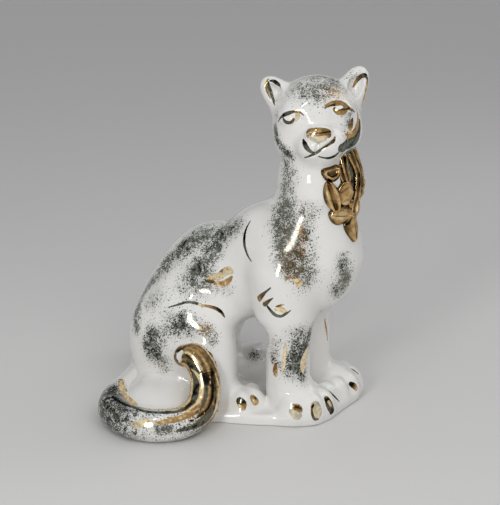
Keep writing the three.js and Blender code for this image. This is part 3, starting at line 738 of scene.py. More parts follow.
FACE_STROKES = {
    "jaw_shade": (0.09, 0.08, [
        (341.6, 148, 2.8), (347, 144.6, 4.8), (352.6, 141.4, 5.2), (356.6, 137, 3.6), (359.2, 130, 1.8),
        (359.6, 120, 0.9)]),
    "left_eye_corner": (0.9, 0.88, [(297.4, 113.6, 1.2), (297.8, 116.3, 1.4), (296.4, 119.6, 0.9)]),
    "left_lid": (0.05, 0.45, [
        (278, 121.8, 0.3), (281.2, 117, 0.9), (285, 114.3, 1.4), (289.5, 112.9, 1.3), (293.5, 111.5, 0.8),
        (298, 111.3, 0.6), (303.3, 115, 0.35)]),
    "left_iris": (0.15, 0.5, [
        (283.3, 118.6, 0.7), (284.8, 121.4, 1.2), (288.3, 122.8, 1.2), (291.8, 121.9, 1.1),
        (293.8, 119, 0.7)]),
    "right_lid": (0.62, 0.5, [
        (325, 107.8, 0.6), (328.4, 105, 1.2), (333.5, 103.4, 1.7), (339.5, 103.1, 1.9), (345, 105, 1.7),
        (349.8, 108.6, 1.1), (354.6, 111.9, 0.4)]),
    "right_iris": (0.55, 0.66, [
        (335.5, 109.5, 1.6), (338.5, 111.6, 2.2), (343, 111.6, 2.2), (346, 109, 1.5)]),
    "right_glint": (BARE_HIGHLIGHT, BARE_HIGHLIGHT, [(336.4, 108.4, 0.7), (339.5, 107.4, 1.2), (341.8, 106.7, 0.6)]),
    "nose_top": (0.5, 0.62, [(308.3, 131, 1.9), (314, 130.3, 1.8), (321, 130.3, 1.8), (328.6, 132, 2)]),
    "nose_middle": (0.8, 0.66, [(308.2, 135, 1.7), (318, 134.8, 2.6), (328.8, 134.8, 1.9)]),
    "nose_foot": (0.98, 0.95, [(311.6, 138.4, 1.6), (317.5, 140, 1.9), (324, 138.6, 1.8)]),
    "nose_wing": (0.46, 0.5, [(324.5, 131.4, 1.2), (328.6, 133, 1.4)]),
    "nose_glint": (BARE_HIGHLIGHT, BARE_HIGHLIGHT, [(314, 133, 0.7), (312.6, 135.6, 0.9)]),
    "muzzle_leaf": (0.16, 0.12, [
        (303.3, 139.8, 0.7), (304.8, 144.4, 1.6), (307.6, 149, 1.4), (311.8, 152.3, 0.9),
        (315, 153.2, 0.5)]),
    "smile": (0.1, 0.45, [
        (304.8, 157.8, 0.4), (311.4, 155, 0.8), (316.1, 152.9, 0.9), (322.4, 148.3, 0.8),
        (329.7, 144.2, 0.9), (333.2, 141.6, 1.1), (334.6, 138, 0.9)]),
    "lower_lip": (0.02, 0.02, [
        (318.7, 156.5, 0.4), (325, 158, 0.7), (330, 157.9, 1.1), (334.5, 156, 1.2), (338, 153.4, 0.9)]),
    "cheek_band": (0.72, 0.68, [
        (356.6, 109, 0.6), (357.8, 115, 1), (358, 121, 1.3), (356.8, 127.5, 1.7), (354, 132.8, 1.9),
        (350, 135.8, 1.7), (347.2, 139, 1)]),
    "cheek_barb": (0.7, 0.7, [(349, 135.5, 1), (345.5, 134.2, 0.7), (343.6, 133.4, 0.4)]),
    "cheek_pool": (0.3, 0.88, [(352.4, 119, 0.8), (351.2, 125, 1.5), (349.4, 130.5, 1.4)]),
}
STROKES = {**BODY_STROKES, **TAIL_STROKES, **CLAW_STROKES, **EAR_STROKES, **FACE_STROKES}

# Sprayed spots: u, v, spread in mm, density and tone. A few of them are painted highlight and painted shade,
# as marked below
SPRAYED = {
    "shoulders": [
        (238, 226, 6, 0.5, 0.05), (232, 229, 6, 0.6, 0), (226, 233, 6, 0.75, 0), (219, 237, 6, 0.9, 0),
        (212, 236, 7, 0.8, 0), (206, 232, 7, 0.75, 0.05), (216, 247, 6, 0.85, 0), (213, 254, 5, 0.7, 0.08),
        (227, 226, 7, 0.5, 0.05)],
    "back": [
        (198, 233, 7, 0.6, 0.08), (195, 240, 7, 0.7, 0.05), (189, 245, 6, 0.7, 0), (183, 247, 6, 0.85, 0),
        (179, 253, 6, 0.75, 0), (173, 258, 6, 0.55, 0), (167, 261, 6, 0.9, 0), (163, 268, 6, 0.8, 0),
        (157, 274, 5, 0.7, 0), (153, 281, 5, 0.75, 0), (148, 288, 5, 0.75, 0.05), (143, 295, 5, 0.7, 0.05),
        (140, 302, 5, 0.6, 0.05), (137, 310, 5, 0.75, 0.05), (136, 318, 5, 0.7, 0.05),
        (136, 328, 4.5, 0.8, 0.05), (158, 297, 7, 0.3, 0.08), (150, 303, 7, 0.35, 0.08)],
    "flank": [
        (200, 264, 6, 0.95, 0), (195, 272, 6, 0.9, 0), (206, 266, 5, 0.8, 0.05), (208, 257, 5, 0.7, 0.08),
        (203, 278, 6, 0.7, 0.08), (190, 280, 7, 0.4, 0.08), (185, 288, 8, 0.35, 0.08),
        (195, 290, 8, 0.35, 0.08), (205, 285, 6, 0.45, 0.08), (219, 287, 4, 0.4, 0.08),
        (228, 289, 4, 0.3, 0.1)],
    "thigh": [
        (152, 332, 5, 1, 0), (153, 337, 4, 0.9, 0), (147, 343, 5, 0.9, 0), (155, 349, 5, 0.9, 0),
        (151, 355, 5, 0.85, 0), (160, 359, 5, 0.9, 0), (163, 366, 4, 0.6, 0.05), (158, 340, 6, 0.5, 0),
        (182, 319, 5, 0.85, 0), (184, 327, 5, 0.9, 0), (178, 324, 5, 0.7, 0), (173, 329, 5, 0.7, 0.05),
        (190, 328, 5, 0.7, 0.08), (192, 322, 5, 0.4, 0.08), (206, 329, 4, 0.6, 0.4),
        (209, 334, 4.5, 0.75, 0.3), (212, 341, 4, 0.6, 0.08), (203, 325, 4, 0.4, 0.5),
        (170, 318, 6, 0.35, 0.05), (166, 333, 6, 0.3, 0)],
    "neck": [
        (284, 160, 5, 0.5, 0.08), (288, 168, 5, 0.55, 0.1), (288, 176, 6, 0.51, 0.11),
        (286, 186, 6, 0.55, 0.11), (285, 194, 6, 0.55, 0.11), (283, 203, 6, 0.55, 0.11),
        (280, 210, 7, 0.51, 0.11), (290, 200, 6, 0.34, 0.11), (283, 218, 7, 0.59, 0.11),
        (278, 225, 6, 0.51, 0.11), (291, 212, 6, 0.45, 0.11)],
    "chest": [
        (284, 232, 7, 0.7, 0.1), (291, 229, 6, 0.7, 0.27), (286, 242, 7, 0.7, 0.25),
        (282, 247, 6, 0.65, 0.08), (293, 237, 6, 0.75, 0.08), (289, 254, 6, 0.65, 0.2),
        (297, 250, 5, 0.85, 0.27), (284, 262, 6, 0.5, 0.27), (291, 265, 6, 0.65, 0.27),
        (298, 264, 5, 0.95, 0.27), (305, 262, 4.5, 0.85, 0.15), (303, 272, 5, 0.68, 0.11),
        (296, 274, 5, 0.7, 0.27), (287, 271, 5, 0.6, 0.27), (309, 279, 6, 0.45, 0.08),
        (310, 268, 5, 0.5, 0.08), (311, 254, 4, 0.5, 0.08), (308, 240, 4, 0.6, 0.1),
        (307, 231, 4, 0.51, 0.11), (306, 222, 4, 0.5, 0.15), (314.7, 212, 4, 0.35, 0),
        (307, 207, 4, 0.4, 0.27), (309, 216, 4, 0.4, 0.27), (303, 285, 5, 0.4, 0.08),
        # These four dense gold spots down the chest's middle are a painted highlight, a streak of mirrored
        # light
        (301, 228, 2.2, 1, 0.75), (302, 236, 2.2, 1, 0.78), (302.3, 244, 2.2, 1, 0.75),
        (302.4, 252, 2, 1, 0.7)],
    "far_chest": [
        (343.5, 258, 4, 0.6, 0.05), (343, 266, 5, 0.85, 0), (345.5, 273, 4.5, 0.9, 0.05),
        (346.5, 279, 4, 0.9, 0.3), (344, 285, 4.5, 0.85, 0.1), (339, 284, 5, 0.6, 0.05),
        (340, 292, 5, 0.8, 0), (335, 290, 4, 0.4, 0)],
    "foreleg": [
        (312, 328, 3.5, 0.9, 0), (310, 334, 4, 1, 0), (307, 340, 4.5, 1, 0), (304, 346, 4.5, 1, 0),
        (301, 352, 5, 1, 0), (297, 358, 5, 1, 0), (298, 364, 5, 1, 0), (293, 352, 4, 0.8, 0),
        (293, 362, 4.5, 0.9, 0), (292, 368, 4, 0.8, 0), (302, 372, 4, 0.9, 0), (303, 379, 3.5, 0.6, 0),
        (297, 341, 4.5, 0.7, 0), (301, 333, 5, 0.5, 0), (293, 334, 5, 0.35, 0.05),
        (277, 342, 4, 0.35, 0.05), (275, 350, 4, 0.5, 0.05), (273, 358, 4, 0.55, 0.05),
        (277, 365, 3.5, 0.6, 0.08), (286, 374, 4, 0.35, 0), (295, 374, 4, 0.5, 0)],
    # The far hind foot's spot darkens it inside the arch: partly its spray, partly painted shade
    "far_hind_foot": [(254, 354.5, 5, 0.6, 0)],
    "tail_patches": [(158, 429, 3.5, 0.9, 0.05), (164, 430, 4, 0.95, 0), (171, 430, 3.5, 0.8, 0.1)],
    "crown": [
        (294, 92, 5, 0.26, 0.08), (299, 87, 6, 0.3, 0.08), (306, 82, 6, 0.32, 0.08),
        (314, 79, 6, 0.34, 0.08), (322, 78, 6, 0.34, 0.08), (330, 79, 6, 0.32, 0.08),
        (337, 82, 5.5, 0.26, 0.1), (302, 94, 6, 0.34, 0.05), (310, 90, 6, 0.38, 0.05),
        (318, 87, 6, 0.38, 0.08), (326, 87, 6, 0.38, 0.1), (334, 88, 6, 0.38, 0.35),
        (311, 98, 5.5, 0.3, 0.08), (319, 96, 6, 0.34, 0.12), (326, 97, 5.5, 0.3, 0.45),
        (333, 94, 5.5, 0.34, 0.7), (338, 91.5, 4.5, 0.38, 0.8), (341, 86, 4.5, 0.22, 0.15),
        (350, 78, 4, 0.22, 0.05), (355, 76, 3.5, 0.19, 0.05)],
    "cheeks": [
        (275, 126, 2.5, 0.7, 0), (275.4, 132, 3, 1, 0), (276.6, 138, 3, 1, 0), (279, 144, 3, 1, 0),
        (282.6, 149, 3, 1, 0), (286.6, 153, 3, 1, 0), (291, 156, 2.5, 0.8, 0), (276.6, 117, 3, 0.4, 0.05),
        (350, 115, 2.5, 0.6, 0.08), (347, 120, 3, 0.5, 0.08), (350.5, 125, 2.5, 0.7, 0.3),
        (346, 130, 3, 0.4, 0.08), (343, 114, 2.5, 0.2, 0.08)],
}
# What is mirrored onto the far side, which the photograph doesn't show
MIRRORED = ("shoulders", "back", "flank", "thigh", "shoulder_line", "thigh_line", "thigh_line_end",
            "flank_splash")


GARLAND_TOP = 168
GARLAND_GROUND = [(5, 11), (12, 14), (22, 15), (31, 13), (39, 8), (46, 4)]


def on_chest(x, drop):
    """The spot on the chest met from the front, at x and this far below the garland's top."""
    spot = np.array([[x, -120.0, GARLAND_TOP - drop]])
    for _ in range(60):
        spot[:, 1] += 0.9 * TORSO(spot)
    return spot[0]


def parted(values, runs):
    """Values of runs that were joined, parted again as the runs were."""
    return np.split(values, np.cumsum([len(run) for run in runs])[:-1])


def laid_on_skin(runs, rounds, limit, mirrored=False):
    """Runs of points, each with its further values, moved onto the skin, on the other side if mirrored."""
    joined = np.vstack(runs)
    places, _ = settle(joined[:, :3] * ((-1, 1, 1) if mirrored else 1), rounds, limit)
    return parted(np.column_stack([places, joined[:, 3:]]), runs)


def garland_ground():
    """The gilding that was brushed on the chest between the sprigs, as one broad stroke, kept dark between
    them partly as painted shade.
    """
    spots = [(*on_chest(0, drop), half, 1, 0.12) for drop, half in GARLAND_GROUND]
    return laid_on_skin([strand(spots, 5)], 4, 2)[0]


# A mark that ends farther than this from the skin, in millimetres, has missed the figurine
OFF_THE_SKIN = 4


@functools.lru_cache(maxsize=1)
def decoration():
    """Strokes as lines and sprayed spots, laid on the skin. Each point has its place, then its half width
    or spread, its density and its tone."""
    marks = {name: np.column_stack([stations, [1] * len(stations), np.linspace(first, last, len(stations))])
             for name, (first, last, stations) in STROKES.items()}
    marks.update({name: np.array(spots, float) for name, spots in SPRAYED.items()})
    joined = np.vstack([mark[:, :2] for mark in marks.values()])
    seen = dict(zip(marks, parted(seen_at(joined), marks.values())))
    for name, spots in seen.items():
        if skin_field(spots).max() > OFF_THE_SKIN:
            raise RuntimeError(name + " runs off the figurine")
    runs = {name: np.column_stack([spots, marks[name][:, 2:]]) for name, spots in seen.items()}
    runs = {name: strand(run, 5) if name in STROKES else run for name, run in runs.items()}
    near = dict(zip(runs, laid_on_skin(list(runs.values()), 4, 0.6)))
    far = dict(zip(MIRRORED, laid_on_skin([near[name] for name in MIRRORED], 16, 1.5, True)))
    lines = [garland_ground()] + [run for name, run in (*near.items(), *far.items()) if name in STROKES]
    spots = np.vstack([run for name, run in (*near.items(), *far.items()) if name in SPRAYED])
    return lines, spots


# How far beyond its half width a stroke is followed and over what width it covers an earlier one, both in
# millimetres, and the tone where there is no stroke
STROKE_REACH = 4.0
STROKE_OVERLAP = 0.4
PLAIN_TONE = 0.2


def lustre_at(points, ground=None):
    """How deep each point lies inside a stroke, in millimetres, the tone of the stroke on top there, and how
    far the nearest edge of any stroke is. The ground is the depth and tone that the strokes lie on."""
    depth, tone = ground or (np.full(len(points), UNPAINTED), np.full(len(points), PLAIN_TONE))
    edge = np.full(len(points), STROKE_REACH)
    for line in decoration()[0]:
        reach = line[:, 3].max() + STROKE_REACH
        near = np.nonzero(outside_box(points, line[:, :3].min(0), line[:, :3].max(0)) < reach)[0]
        q = points[near]
        own, own_tone = np.full(len(near), UNPAINTED), np.full(len(near), PLAIN_TONE)
        for a, b in zip(line, line[1:]):
            t, off = from_segment(q, a[:3], b[:3])
            inside = a[3] + t * (b[3] - a[3]) - length(off)
            closer = inside > own
            own = np.where(closer, inside, own)
            own_tone = np.where(closer, a[5] + t * (b[5] - a[5]), own_tone)
        edge[near] = np.minimum(edge[near], np.abs(own))
        if line[0, 5] == BARE_HIGHLIGHT:
            depth[near] = np.minimum(depth[near], -own)
            continue
        share = np.where(depth[near] > 0, np.clip(0.5 + own / STROKE_OVERLAP, 0, 1), own > depth[near])
        tone[near] += share * (own_tone - tone[near])
        depth[near] = np.maximum(depth[near], own)
    return depth, tone, edge


def spray_at(points):
    """Density and tone of the sprayed spots at each point."""
    bare, weight, toned = np.ones(len(points)), np.full(len(points), 1e-3), np.zeros(len(points))
    for spot in decoration()[1]:
        away = length(points - spot[:3]) / spot[3]
        share = spot[4] * np.exp(-away ** 2)
        bare *= 1 - share
        weight += share
        toned += share * spot[5]
    return 1 - bare, toned / weight


# Painted reflections on the tail's gold, as stripes along it: how many go round it, where they start, and how
# they wander
TAIL_REFLECTION_STREAKS = ((5, 0.4, 9), (9, 2.1, 15), (14, 4.0, 24))

# Places along the tail, as shares of its length: where the sponging begins, where it thins out, its densest
# patch, where solid gold begins, where that is mottled below, and where its edge is no longer ragged
SPONGED_FROM = 0.22
SPONGED_THIN_FROM = 0.36
SPONGED_PATCH = 0.38
GOLD_FROM = 0.605
GOLD_MOTTLED = 0.66
GOLD_SMOOTH_FROM = 0.72


def along_tail(points):
    """How far along the tail each point lies, from 0 at the root, and its angle, 0 outside and 90 on top."""
    line = strand(TAIL_PATH, 8)[:, :3]
    nearest = np.full(len(points), 1e9)
    along, around = np.zeros(len(points)), np.zeros(len(points))
    outside = np.array([0.0, 1, 0])
    for index, (a, b) in enumerate(zip(line, line[1:])):
        way = unit(b - a)
        outside = unit(outside - way * (outside @ way))
        t, off = from_segment(points, a, b)
        away = length(off)
        closer = away < nearest
        nearest = np.where(closer, away, nearest)
        along = np.where(closer, (index + t) / (len(line) - 1), along)
        around = np.where(closer, np.arctan2(off @ np.cross(outside, way), off @ outside), around)
    return along, around


def tail_paint(points, layers):
    """Gold on the tail: solid on its rising end, sponged out towards the root, and striped along it with
    painted reflections.
    """
    along, around = along_tail(points)
    gold = np.clip((along - GOLD_FROM + 0.03 * np.sin(around)) * 50, UNPAINTED, 6)
    # Stripes of tone round the gold, painted reflections of the dark room and the lamps
    reflection_streaks = sum(np.cos(count * around + start + np.sin(wander * along))
                  for count, start, wander in TAIL_REFLECTION_STREAKS)
    stroked = layers["lustre"] > -0.3
    layers["lustre"], layers["tone"], _ = lustre_at(points, (gold, np.clip(0.6 + 0.14 * reflection_streaks, 0, 0.9)))
    layers["rag"] = np.where(stroked, 0.3, 0.4 + 6 * (along < GOLD_SMOOTH_FROM))
    below = 0.5 - 0.5 * np.sin(around)
    patch = np.exp(-((along - SPONGED_PATCH) / 0.09) ** 2)
    mottled = np.exp(-((along - GOLD_MOTTLED) / 0.1) ** 2) * below
    rooted = np.clip((along - SPONGED_FROM) / 0.05, 0, 1)
    evenly = np.where(along < SPONGED_THIN_FROM, 0.8, 0.12)
    sponged = np.clip(evenly + 0.8 * patch + 0.9 * mottled, 0, 0.95)
    layers["spray"] = np.maximum(layers["spray"], rooted * sponged)
    layers["spray_tone"] = np.clip(along - 0.45, 0, 0.3)


# Colours and materials
def colour(code):
    """An sRGB hex colour as linear red, green, blue and 1."""
    parts = [int(code[i:i + 2], 16) / 255 for i in (0, 2, 4)]
    return (*[c / 12.92 if c <= 0.04045 else ((c + 0.055) / 1.055) ** 2.4 for c in parts], 1)


def colour_property(name, description, code):
    return FloatVectorProperty(name=name, description=description, subtype="COLOR", size=4, min=0, max=1,
                               default=colour(code))


def number(name, description, default, unit="NONE"):
    return FloatProperty(name=name, description=description, default=default, unit=unit)


class FigurineSkin(bpy.types.PropertyGroup):
    pitch: number("Pitch", "Spacing of the skin's points, in millimetres", 1)
    face_pitch: number("Face pitch", "Spacing on the head, ears and paws, in millimetres", 0.6)
    paint_pitch: number("Paint pitch", "Spacing along the edges of brush strokes, in millimetres", 0.36)
    ripple: number("Ripple", "Height of the glaze's ripples, in millimetres", 0.05)


class FigurinePaint(bpy.types.PropertyGroup):
    glaze: colour_property("Glaze", "White glaze where it lies thick", "e9e8e4")
    glaze_thin: colour_property("Thin glaze", "White glaze where it lies thin", "dfdedb")
    # The dark and pale lustres serve the paint itself, and also the painted reflections of the dark room and
    # the painted highlights on the gold
    lustre_dark: colour_property("Dark lustre", "Lustre fired thin and dark", "23261e")
    lustre_pewter: colour_property("Pewter lustre", "Lustre fired thin, grey green", "7a7f72")
    lustre_silver: colour_property("Silver lustre", "Lustre that broke to pale silver grey", "c3c0b2")
    lustre_brown: colour_property("Brown lustre", "Thin gold lustre over dark", "5e4a2c")
    lustre_bronze: colour_property("Bronze lustre", "Lustre between brown and gold", "8c7653")
    lustre_gold: colour_property("Gold lustre", "Full gold lustre", "d0a66b")
    lustre_pale: colour_property("Pale lustre", "Gold lustre at its thickest", "f8e4b6")


class FigurineGarland(bpy.types.PropertyGroup):
    relief: number("Relief", "How far the sprigs stand out", 3.4 * MM, "LENGTH")
    bead_radius: number("Bead radius", "Half width of a bead", 2.6 * MM, "LENGTH")
    stem_radius: number("Stem radius", "Half width of the stem", 3 * MM, "LENGTH")
    ribbon_radius: number("Ribbon radius", "Half width of a ribbon", 3.6 * MM, "LENGTH")


class FigurineStage(bpy.types.PropertyGroup):
    floor: colour_property("Floor", "Plain pale floor", "d9d8d6")
    studio: colour_property("Studio", "Light of the room from above", "f0f1f4")
    studio_dark: colour_property("Dark studio", "The dark band round the room, which metals mirror", "1c1c20")
    studio_strength: number("Studio strength", "Level of the room's light", 0.66)
    key_power: number("Key", "Power of the large soft box", 4.4, "POWER")
    strip_power: number("Strip", "Power of the tall narrow light", 3.2, "POWER")
    top_power: number("Top", "Power of the small light above", 0.3, "POWER")
    rim_power: number("Rim", "Power of the side soft box", 1, "POWER")


def node(tree, kind, settings=None, **links):
    """Adds a node. Its settings may be just its operation. Each input, by its name or by i and its number,
    takes a value, another node's output, or another node, for its first output."""
    made = tree.nodes.new(kind)
    if isinstance(settings, str):
        settings = {"operation": settings}
    for key, value in (settings or {}).items():
        setattr(made, key, value)
    for key, value in links.items():
        socket = made.inputs[int(key[1:])] if key[1:].isdigit() else made.inputs[key.replace("_", " ")]
        value = value.outputs[0] if isinstance(value, bpy.types.Node) else value
        if isinstance(value, bpy.types.NodeSocket):
            tree.links.new(value, socket)
        else:
            socket.default_value = value
    return made


def new_material(name):
    material = bpy.data.materials.get(name)
    if material:
        return material, None
    material = bpy.data.materials.new(name)
    material.use_nodes = True
    material.node_tree.nodes.clear()
    return material, material.node_tree


# Each sprayed layer: pitch of its droplets in millimetres, from spatter to fine mist. The real mist goes
# down to a tenth of a millimetre, and the finest layer here is as coarse as it needs to show
SPRAY_LAYERS = (1.25, 0.95, 0.75, 0.6)

# The share of the spray that falls as even mist, and how much of a mirror sprayed lustre is
MIST = 0.42
SPRAY_METAL = 0.42


def fill_ramp(ramp, first, last, *between):
    """Sets the stops of a colour ramp, each a place and a colour; the first is at 0."""
    stops = ramp.color_ramp.elements
    stops[0].color, stops[1].color = first, last[1]
    stops[1].position = last[0]
    for place, tint in between:
        stops.new(place).color = tint


def lustred_glaze():
    """White tin glaze over slip-cast clay, brushed and sprayed with lustre and fired once more. The glaze is
    glassy and faintly rippled; the lustre is a thin mirror of metal that ends in a ragged edge."""
    material, tree = new_material("white_glaze_with_fired_lustre")
    if not tree:
        return material
    paint = bpy.context.scene.figurine_paint
    place = node(tree, "ShaderNodeTexCoord").outputs["Object"]
    depth, rag, tone, density, spray_tone = [
        node(tree, "ShaderNodeAttribute", {"attribute_name": label}).outputs["Fac"]
        for label in ("lustre", "rag", "tone", "spray", "spray_tone")]

    # Brushed lustre: the stroke's depth in millimetres, made ragged by bristle marks
    bristles = node(tree, "ShaderNodeTexNoise", Vector=place, Scale=700, Detail=3)
    ragged = node(tree, "ShaderNodeMath", "MULTIPLY_ADD", i0=bristles, i1=2, i2=-1)
    pulled = node(tree, "ShaderNodeMath", "MULTIPLY_ADD", i0=ragged, i1=rag, i2=depth)
    brushed = node(tree, "ShaderNodeMapRange", Value=pulled, From_Min=-0.08, From_Max=0.08)

    # Sprayed lustre: round droplets, larger and closer where the spray was dense
    clouds = node(tree, "ShaderNodeTexNoise", Vector=place, Scale=230, Detail=2)
    patchy = node(tree, "ShaderNodeMapRange", Value=clouds, From_Min=0.3, From_Max=0.7,
                  To_Min=0.55, To_Max=1.35)
    load = node(tree, "ShaderNodeMath", "MULTIPLY", i0=density, i1=patchy)
    swell = node(tree, "ShaderNodeMath", "MULTIPLY_ADD", i0=load, i1=0.8, i2=0.7)
    covered, glint = None, None
    for pitch in SPRAY_LAYERS:
        drops = node(tree, "ShaderNodeTexVoronoi", Vector=place, Scale=1 / (pitch * MM))
        chance = node(tree, "ShaderNodeSeparateColor", Color=drops.outputs["Color"])
        landed = node(tree, "ShaderNodeMath", "LESS_THAN", i0=chance, i1=load)
        size = node(tree, "ShaderNodeMath", "MULTIPLY_ADD", i0=chance.outputs[1], i1=0.3, i2=0.2)
        grown = node(tree, "ShaderNodeMath", "MULTIPLY", i0=size, i1=swell)
        inside = node(tree, "ShaderNodeMath", "SUBTRACT", i0=grown, i1=drops.outputs["Distance"])
        edge = node(tree, "ShaderNodeMapRange", Value=inside, From_Min=-0.03, From_Max=0.05)
        drop = node(tree, "ShaderNodeMath", "MULTIPLY", i0=landed, i1=edge)
        covered = drop if not covered else node(tree, "ShaderNodeMath", "MAXIMUM", i0=covered, i1=drop)
        glint = chance if not glint else glint
    speck_tone = node(tree, "ShaderNodeMath", {"operation": "MULTIPLY_ADD", "use_clamp": True},
                      i0=glint.outputs[2], i1=0.07, i2=spray_tone)
    mist = node(tree, "ShaderNodeMath", "MULTIPLY", i0=load, i1=MIST)
    sprayed = node(tree, "ShaderNodeMath", "MAXIMUM", i0=covered, i1=mist)

    metal = node(tree, "ShaderNodeMath", {"operation": "MAXIMUM", "use_clamp": True},
                 i0=brushed, i1=sprayed)
    matt = node(tree, "ShaderNodeMath", "MULTIPLY", i0=sprayed, i1=SPRAY_METAL)
    laid = node(tree, "ShaderNodeMath", {"operation": "MAXIMUM", "use_clamp": True}, i0=brushed, i1=matt)
    laid_tone = node(tree, "ShaderNodeMix", Factor=brushed, A=speck_tone, B=tone)
    flow = node(tree, "ShaderNodeTexNoise", Vector=place, Scale=420, Detail=2)
    shifted = node(tree, "ShaderNodeMapRange", Value=flow, From_Min=0.3, From_Max=0.7,
                   To_Min=-0.13, To_Max=0.13)
    varied = node(tree, "ShaderNodeMath", {"operation": "ADD", "use_clamp": True}, i0=laid_tone, i1=shifted)
    # Pale tones are made less of a mirror, so that their pale colour shows bright whatever they face: a
    # painted highlight, as many pale strokes are
    pale_shown_bright = node(tree, "ShaderNodeMapRange", Value=varied, From_Min=0.74, From_Max=0.86,
                 To_Min=1, To_Max=0.45)
    mirror = node(tree, "ShaderNodeMath", "MULTIPLY", i0=laid, i1=pale_shown_bright)
    lustre = node(tree, "ShaderNodeValToRGB", Fac=varied)
    fill_ramp(lustre, paint.lustre_dark, (1, paint.lustre_silver), (0.14, paint.lustre_pewter),
              (0.33, paint.lustre_brown), (0.46, paint.lustre_bronze), (0.7, paint.lustre_gold),
              (0.88, paint.lustre_pale))

    thick = node(tree, "ShaderNodeTexNoise", Vector=place, Scale=32, Detail=2)
    glaze = node(tree, "ShaderNodeMix", {"data_type": "RGBA"}, i0=thick,
                 i6=paint.glaze, i7=paint.glaze_thin)
    shown = node(tree, "ShaderNodeMix", {"data_type": "RGBA"}, i0=metal, i6=glaze.outputs[2], i7=lustre)
    gloss = node(tree, "ShaderNodeMapRange", Value=metal, To_Min=0.07, To_Max=0.15)
    ripples = node(tree, "ShaderNodeTexNoise", Vector=place, Scale=90, Detail=1)
    bump = node(tree, "ShaderNodeBump", Height=ripples, Strength=0.35,
                Distance=bpy.context.scene.figurine_skin.ripple * MM)
    shader = node(tree, "ShaderNodeBsdfPrincipled", Base_Color=shown.outputs[2], Metallic=mirror,
                  Roughness=gloss, IOR=1.52, Normal=bump)
    node(tree, "ShaderNodeOutputMaterial", Surface=shader)
    return material


def gilded_sprig():
    """Bright gold brushed on relief sprigs over glaze and fired. It is painted dark low down, as painted
    shade in the grooves, and pale high up, as painted highlight on the ridges, and it mirrors what stands
    round it."""
    material, tree = new_material("burnished_gold_on_relief")
    if not tree:
        return material
    paint = bpy.context.scene.figurine_paint
    place = node(tree, "ShaderNodeTexCoord").outputs["Object"]
    height = node(tree, "ShaderNodeAttribute", {"attribute_name": "relief"}).outputs["Fac"]
    flow = node(tree, "ShaderNodeTexNoise", Vector=place, Scale=210, Detail=3)
    # Low relief is painted dark as shade in the grooves and high relief pale as a highlight on the ridges,
    # with some random spread
    groove_shade_ridge_light = node(tree, "ShaderNodeMath", "MULTIPLY_ADD", i0=flow, i1=1.3, i2=height)
    tone = node(tree, "ShaderNodeMapRange", Value=groove_shade_ridge_light, From_Min=1, From_Max=1.8)
    gold = node(tree, "ShaderNodeValToRGB", Fac=tone)
    fill_ramp(gold, paint.lustre_brown, (1, paint.lustre_pale), (0.25, paint.lustre_bronze),
              (0.6, paint.lustre_gold))
    gloss = node(tree, "ShaderNodeMapRange", Value=flow, To_Min=0.05, To_Max=0.14)
    hammered = node(tree, "ShaderNodeTexNoise", Vector=place, Scale=600, Detail=1)
    bump = node(tree, "ShaderNodeBump", Height=hammered, Strength=0.35, Distance=0.1 * MM)
    shader = node(tree, "ShaderNodeBsdfPrincipled", Base_Color=gold, Metallic=1.0,
                  Roughness=gloss, Normal=bump)
    node(tree, "ShaderNodeOutputMaterial", Surface=shader)
    return material


# Castings

# The skin is finer on the head, above FACE_FROM, and on the paws, below PAW_TOP, above PAW_SOLE and in front
# of PAW_BACK, and finest within PAINT_EDGE of a stroke's edge.
FACE_FROM = 160
PAW_TOP = 24
PAW_BACK = -16
PAW_SOLE = 3
PAINT_EDGE = 0.5
BRISTLES = 0.25


def skin_spacing(points):
    """How far apart the skin's points may lie: close on the face and paws, closest along paint edges."""
    sizes = bpy.context.scene.figurine_skin
    wanted = np.full(len(points), sizes.pitch)
    fine = points[:, 2] > FACE_FROM
    fine |= (points[:, 2] < PAW_TOP) & (points[:, 1] < PAW_BACK) & (points[:, 2] > PAW_SOLE)
    wanted[fine] = sizes.face_pitch
    wanted[lustre_at(points)[2] < PAINT_EDGE] = sizes.paint_pitch
    return wanted


@functools.lru_cache(maxsize=1)
def fired_skin():
    """The figurine's whole skin, and the casting that each triangle belongs to."""
    lo = np.array(CAD_BOX[0]) / MM - 3
    hi = np.array(CAD_BOX[1]) / MM + 3
    pitch = bpy.context.scene.figurine_skin.pitch
    points, quads = skin_mesh(skin_field, lo, hi, pitch)
    triangles = np.vstack([quads[:, :3], quads[:, [0, 2, 3]]])
    points, _ = settle(points)
    points, triangles = refine(points, triangles, skin_spacing, 2)
    points = np.clip(points, np.array(CAD_BOX[0]) / MM, np.array(CAD_BOX[1]) / MM)
    _, normals = settle(points, 0)
    names, owner = owners_of(points, triangles)
    depth, tone, _ = lustre_at(points)
    density, spray_tone = spray_at(points)
    rag = np.full(len(points), BRISTLES)
    paint = {"lustre": depth, "tone": tone, "rag": rag, "spray": density, "spray_tone": spray_tone}
    return points, normals, triangles, names, owner, paint


def make_castings(*wanted):
    points, normals, triangles, names, owner, paint = fired_skin()
    for name in wanted:
        mine = triangles[owner == names.index(name)]
        if not len(mine):
            raise RuntimeError(name + " has no skin of its own")
        own_points, own_triangles, used = closed_part(points, mine)
        hidden = len(own_points) - len(used)
        layers = {label: np.append(values[used], np.full(hidden, UNPAINTED if label == "lustre" else 0))
                  for label, values in paint.items()}
        if name == "tail":
            tail_paint(own_points, layers)
        own_normals = np.vstack([normals[used], np.zeros((hidden, 3))])
        piece = mesh_object(name + "_casting", own_points, own_triangles, own_normals, layers)
        piece.data.materials.append(lustred_glaze())
        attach(piece, "root")
        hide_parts(name)


# Garland
def dome(across, steepness=6):
    return (1 - across ** steepness) ** 0.5


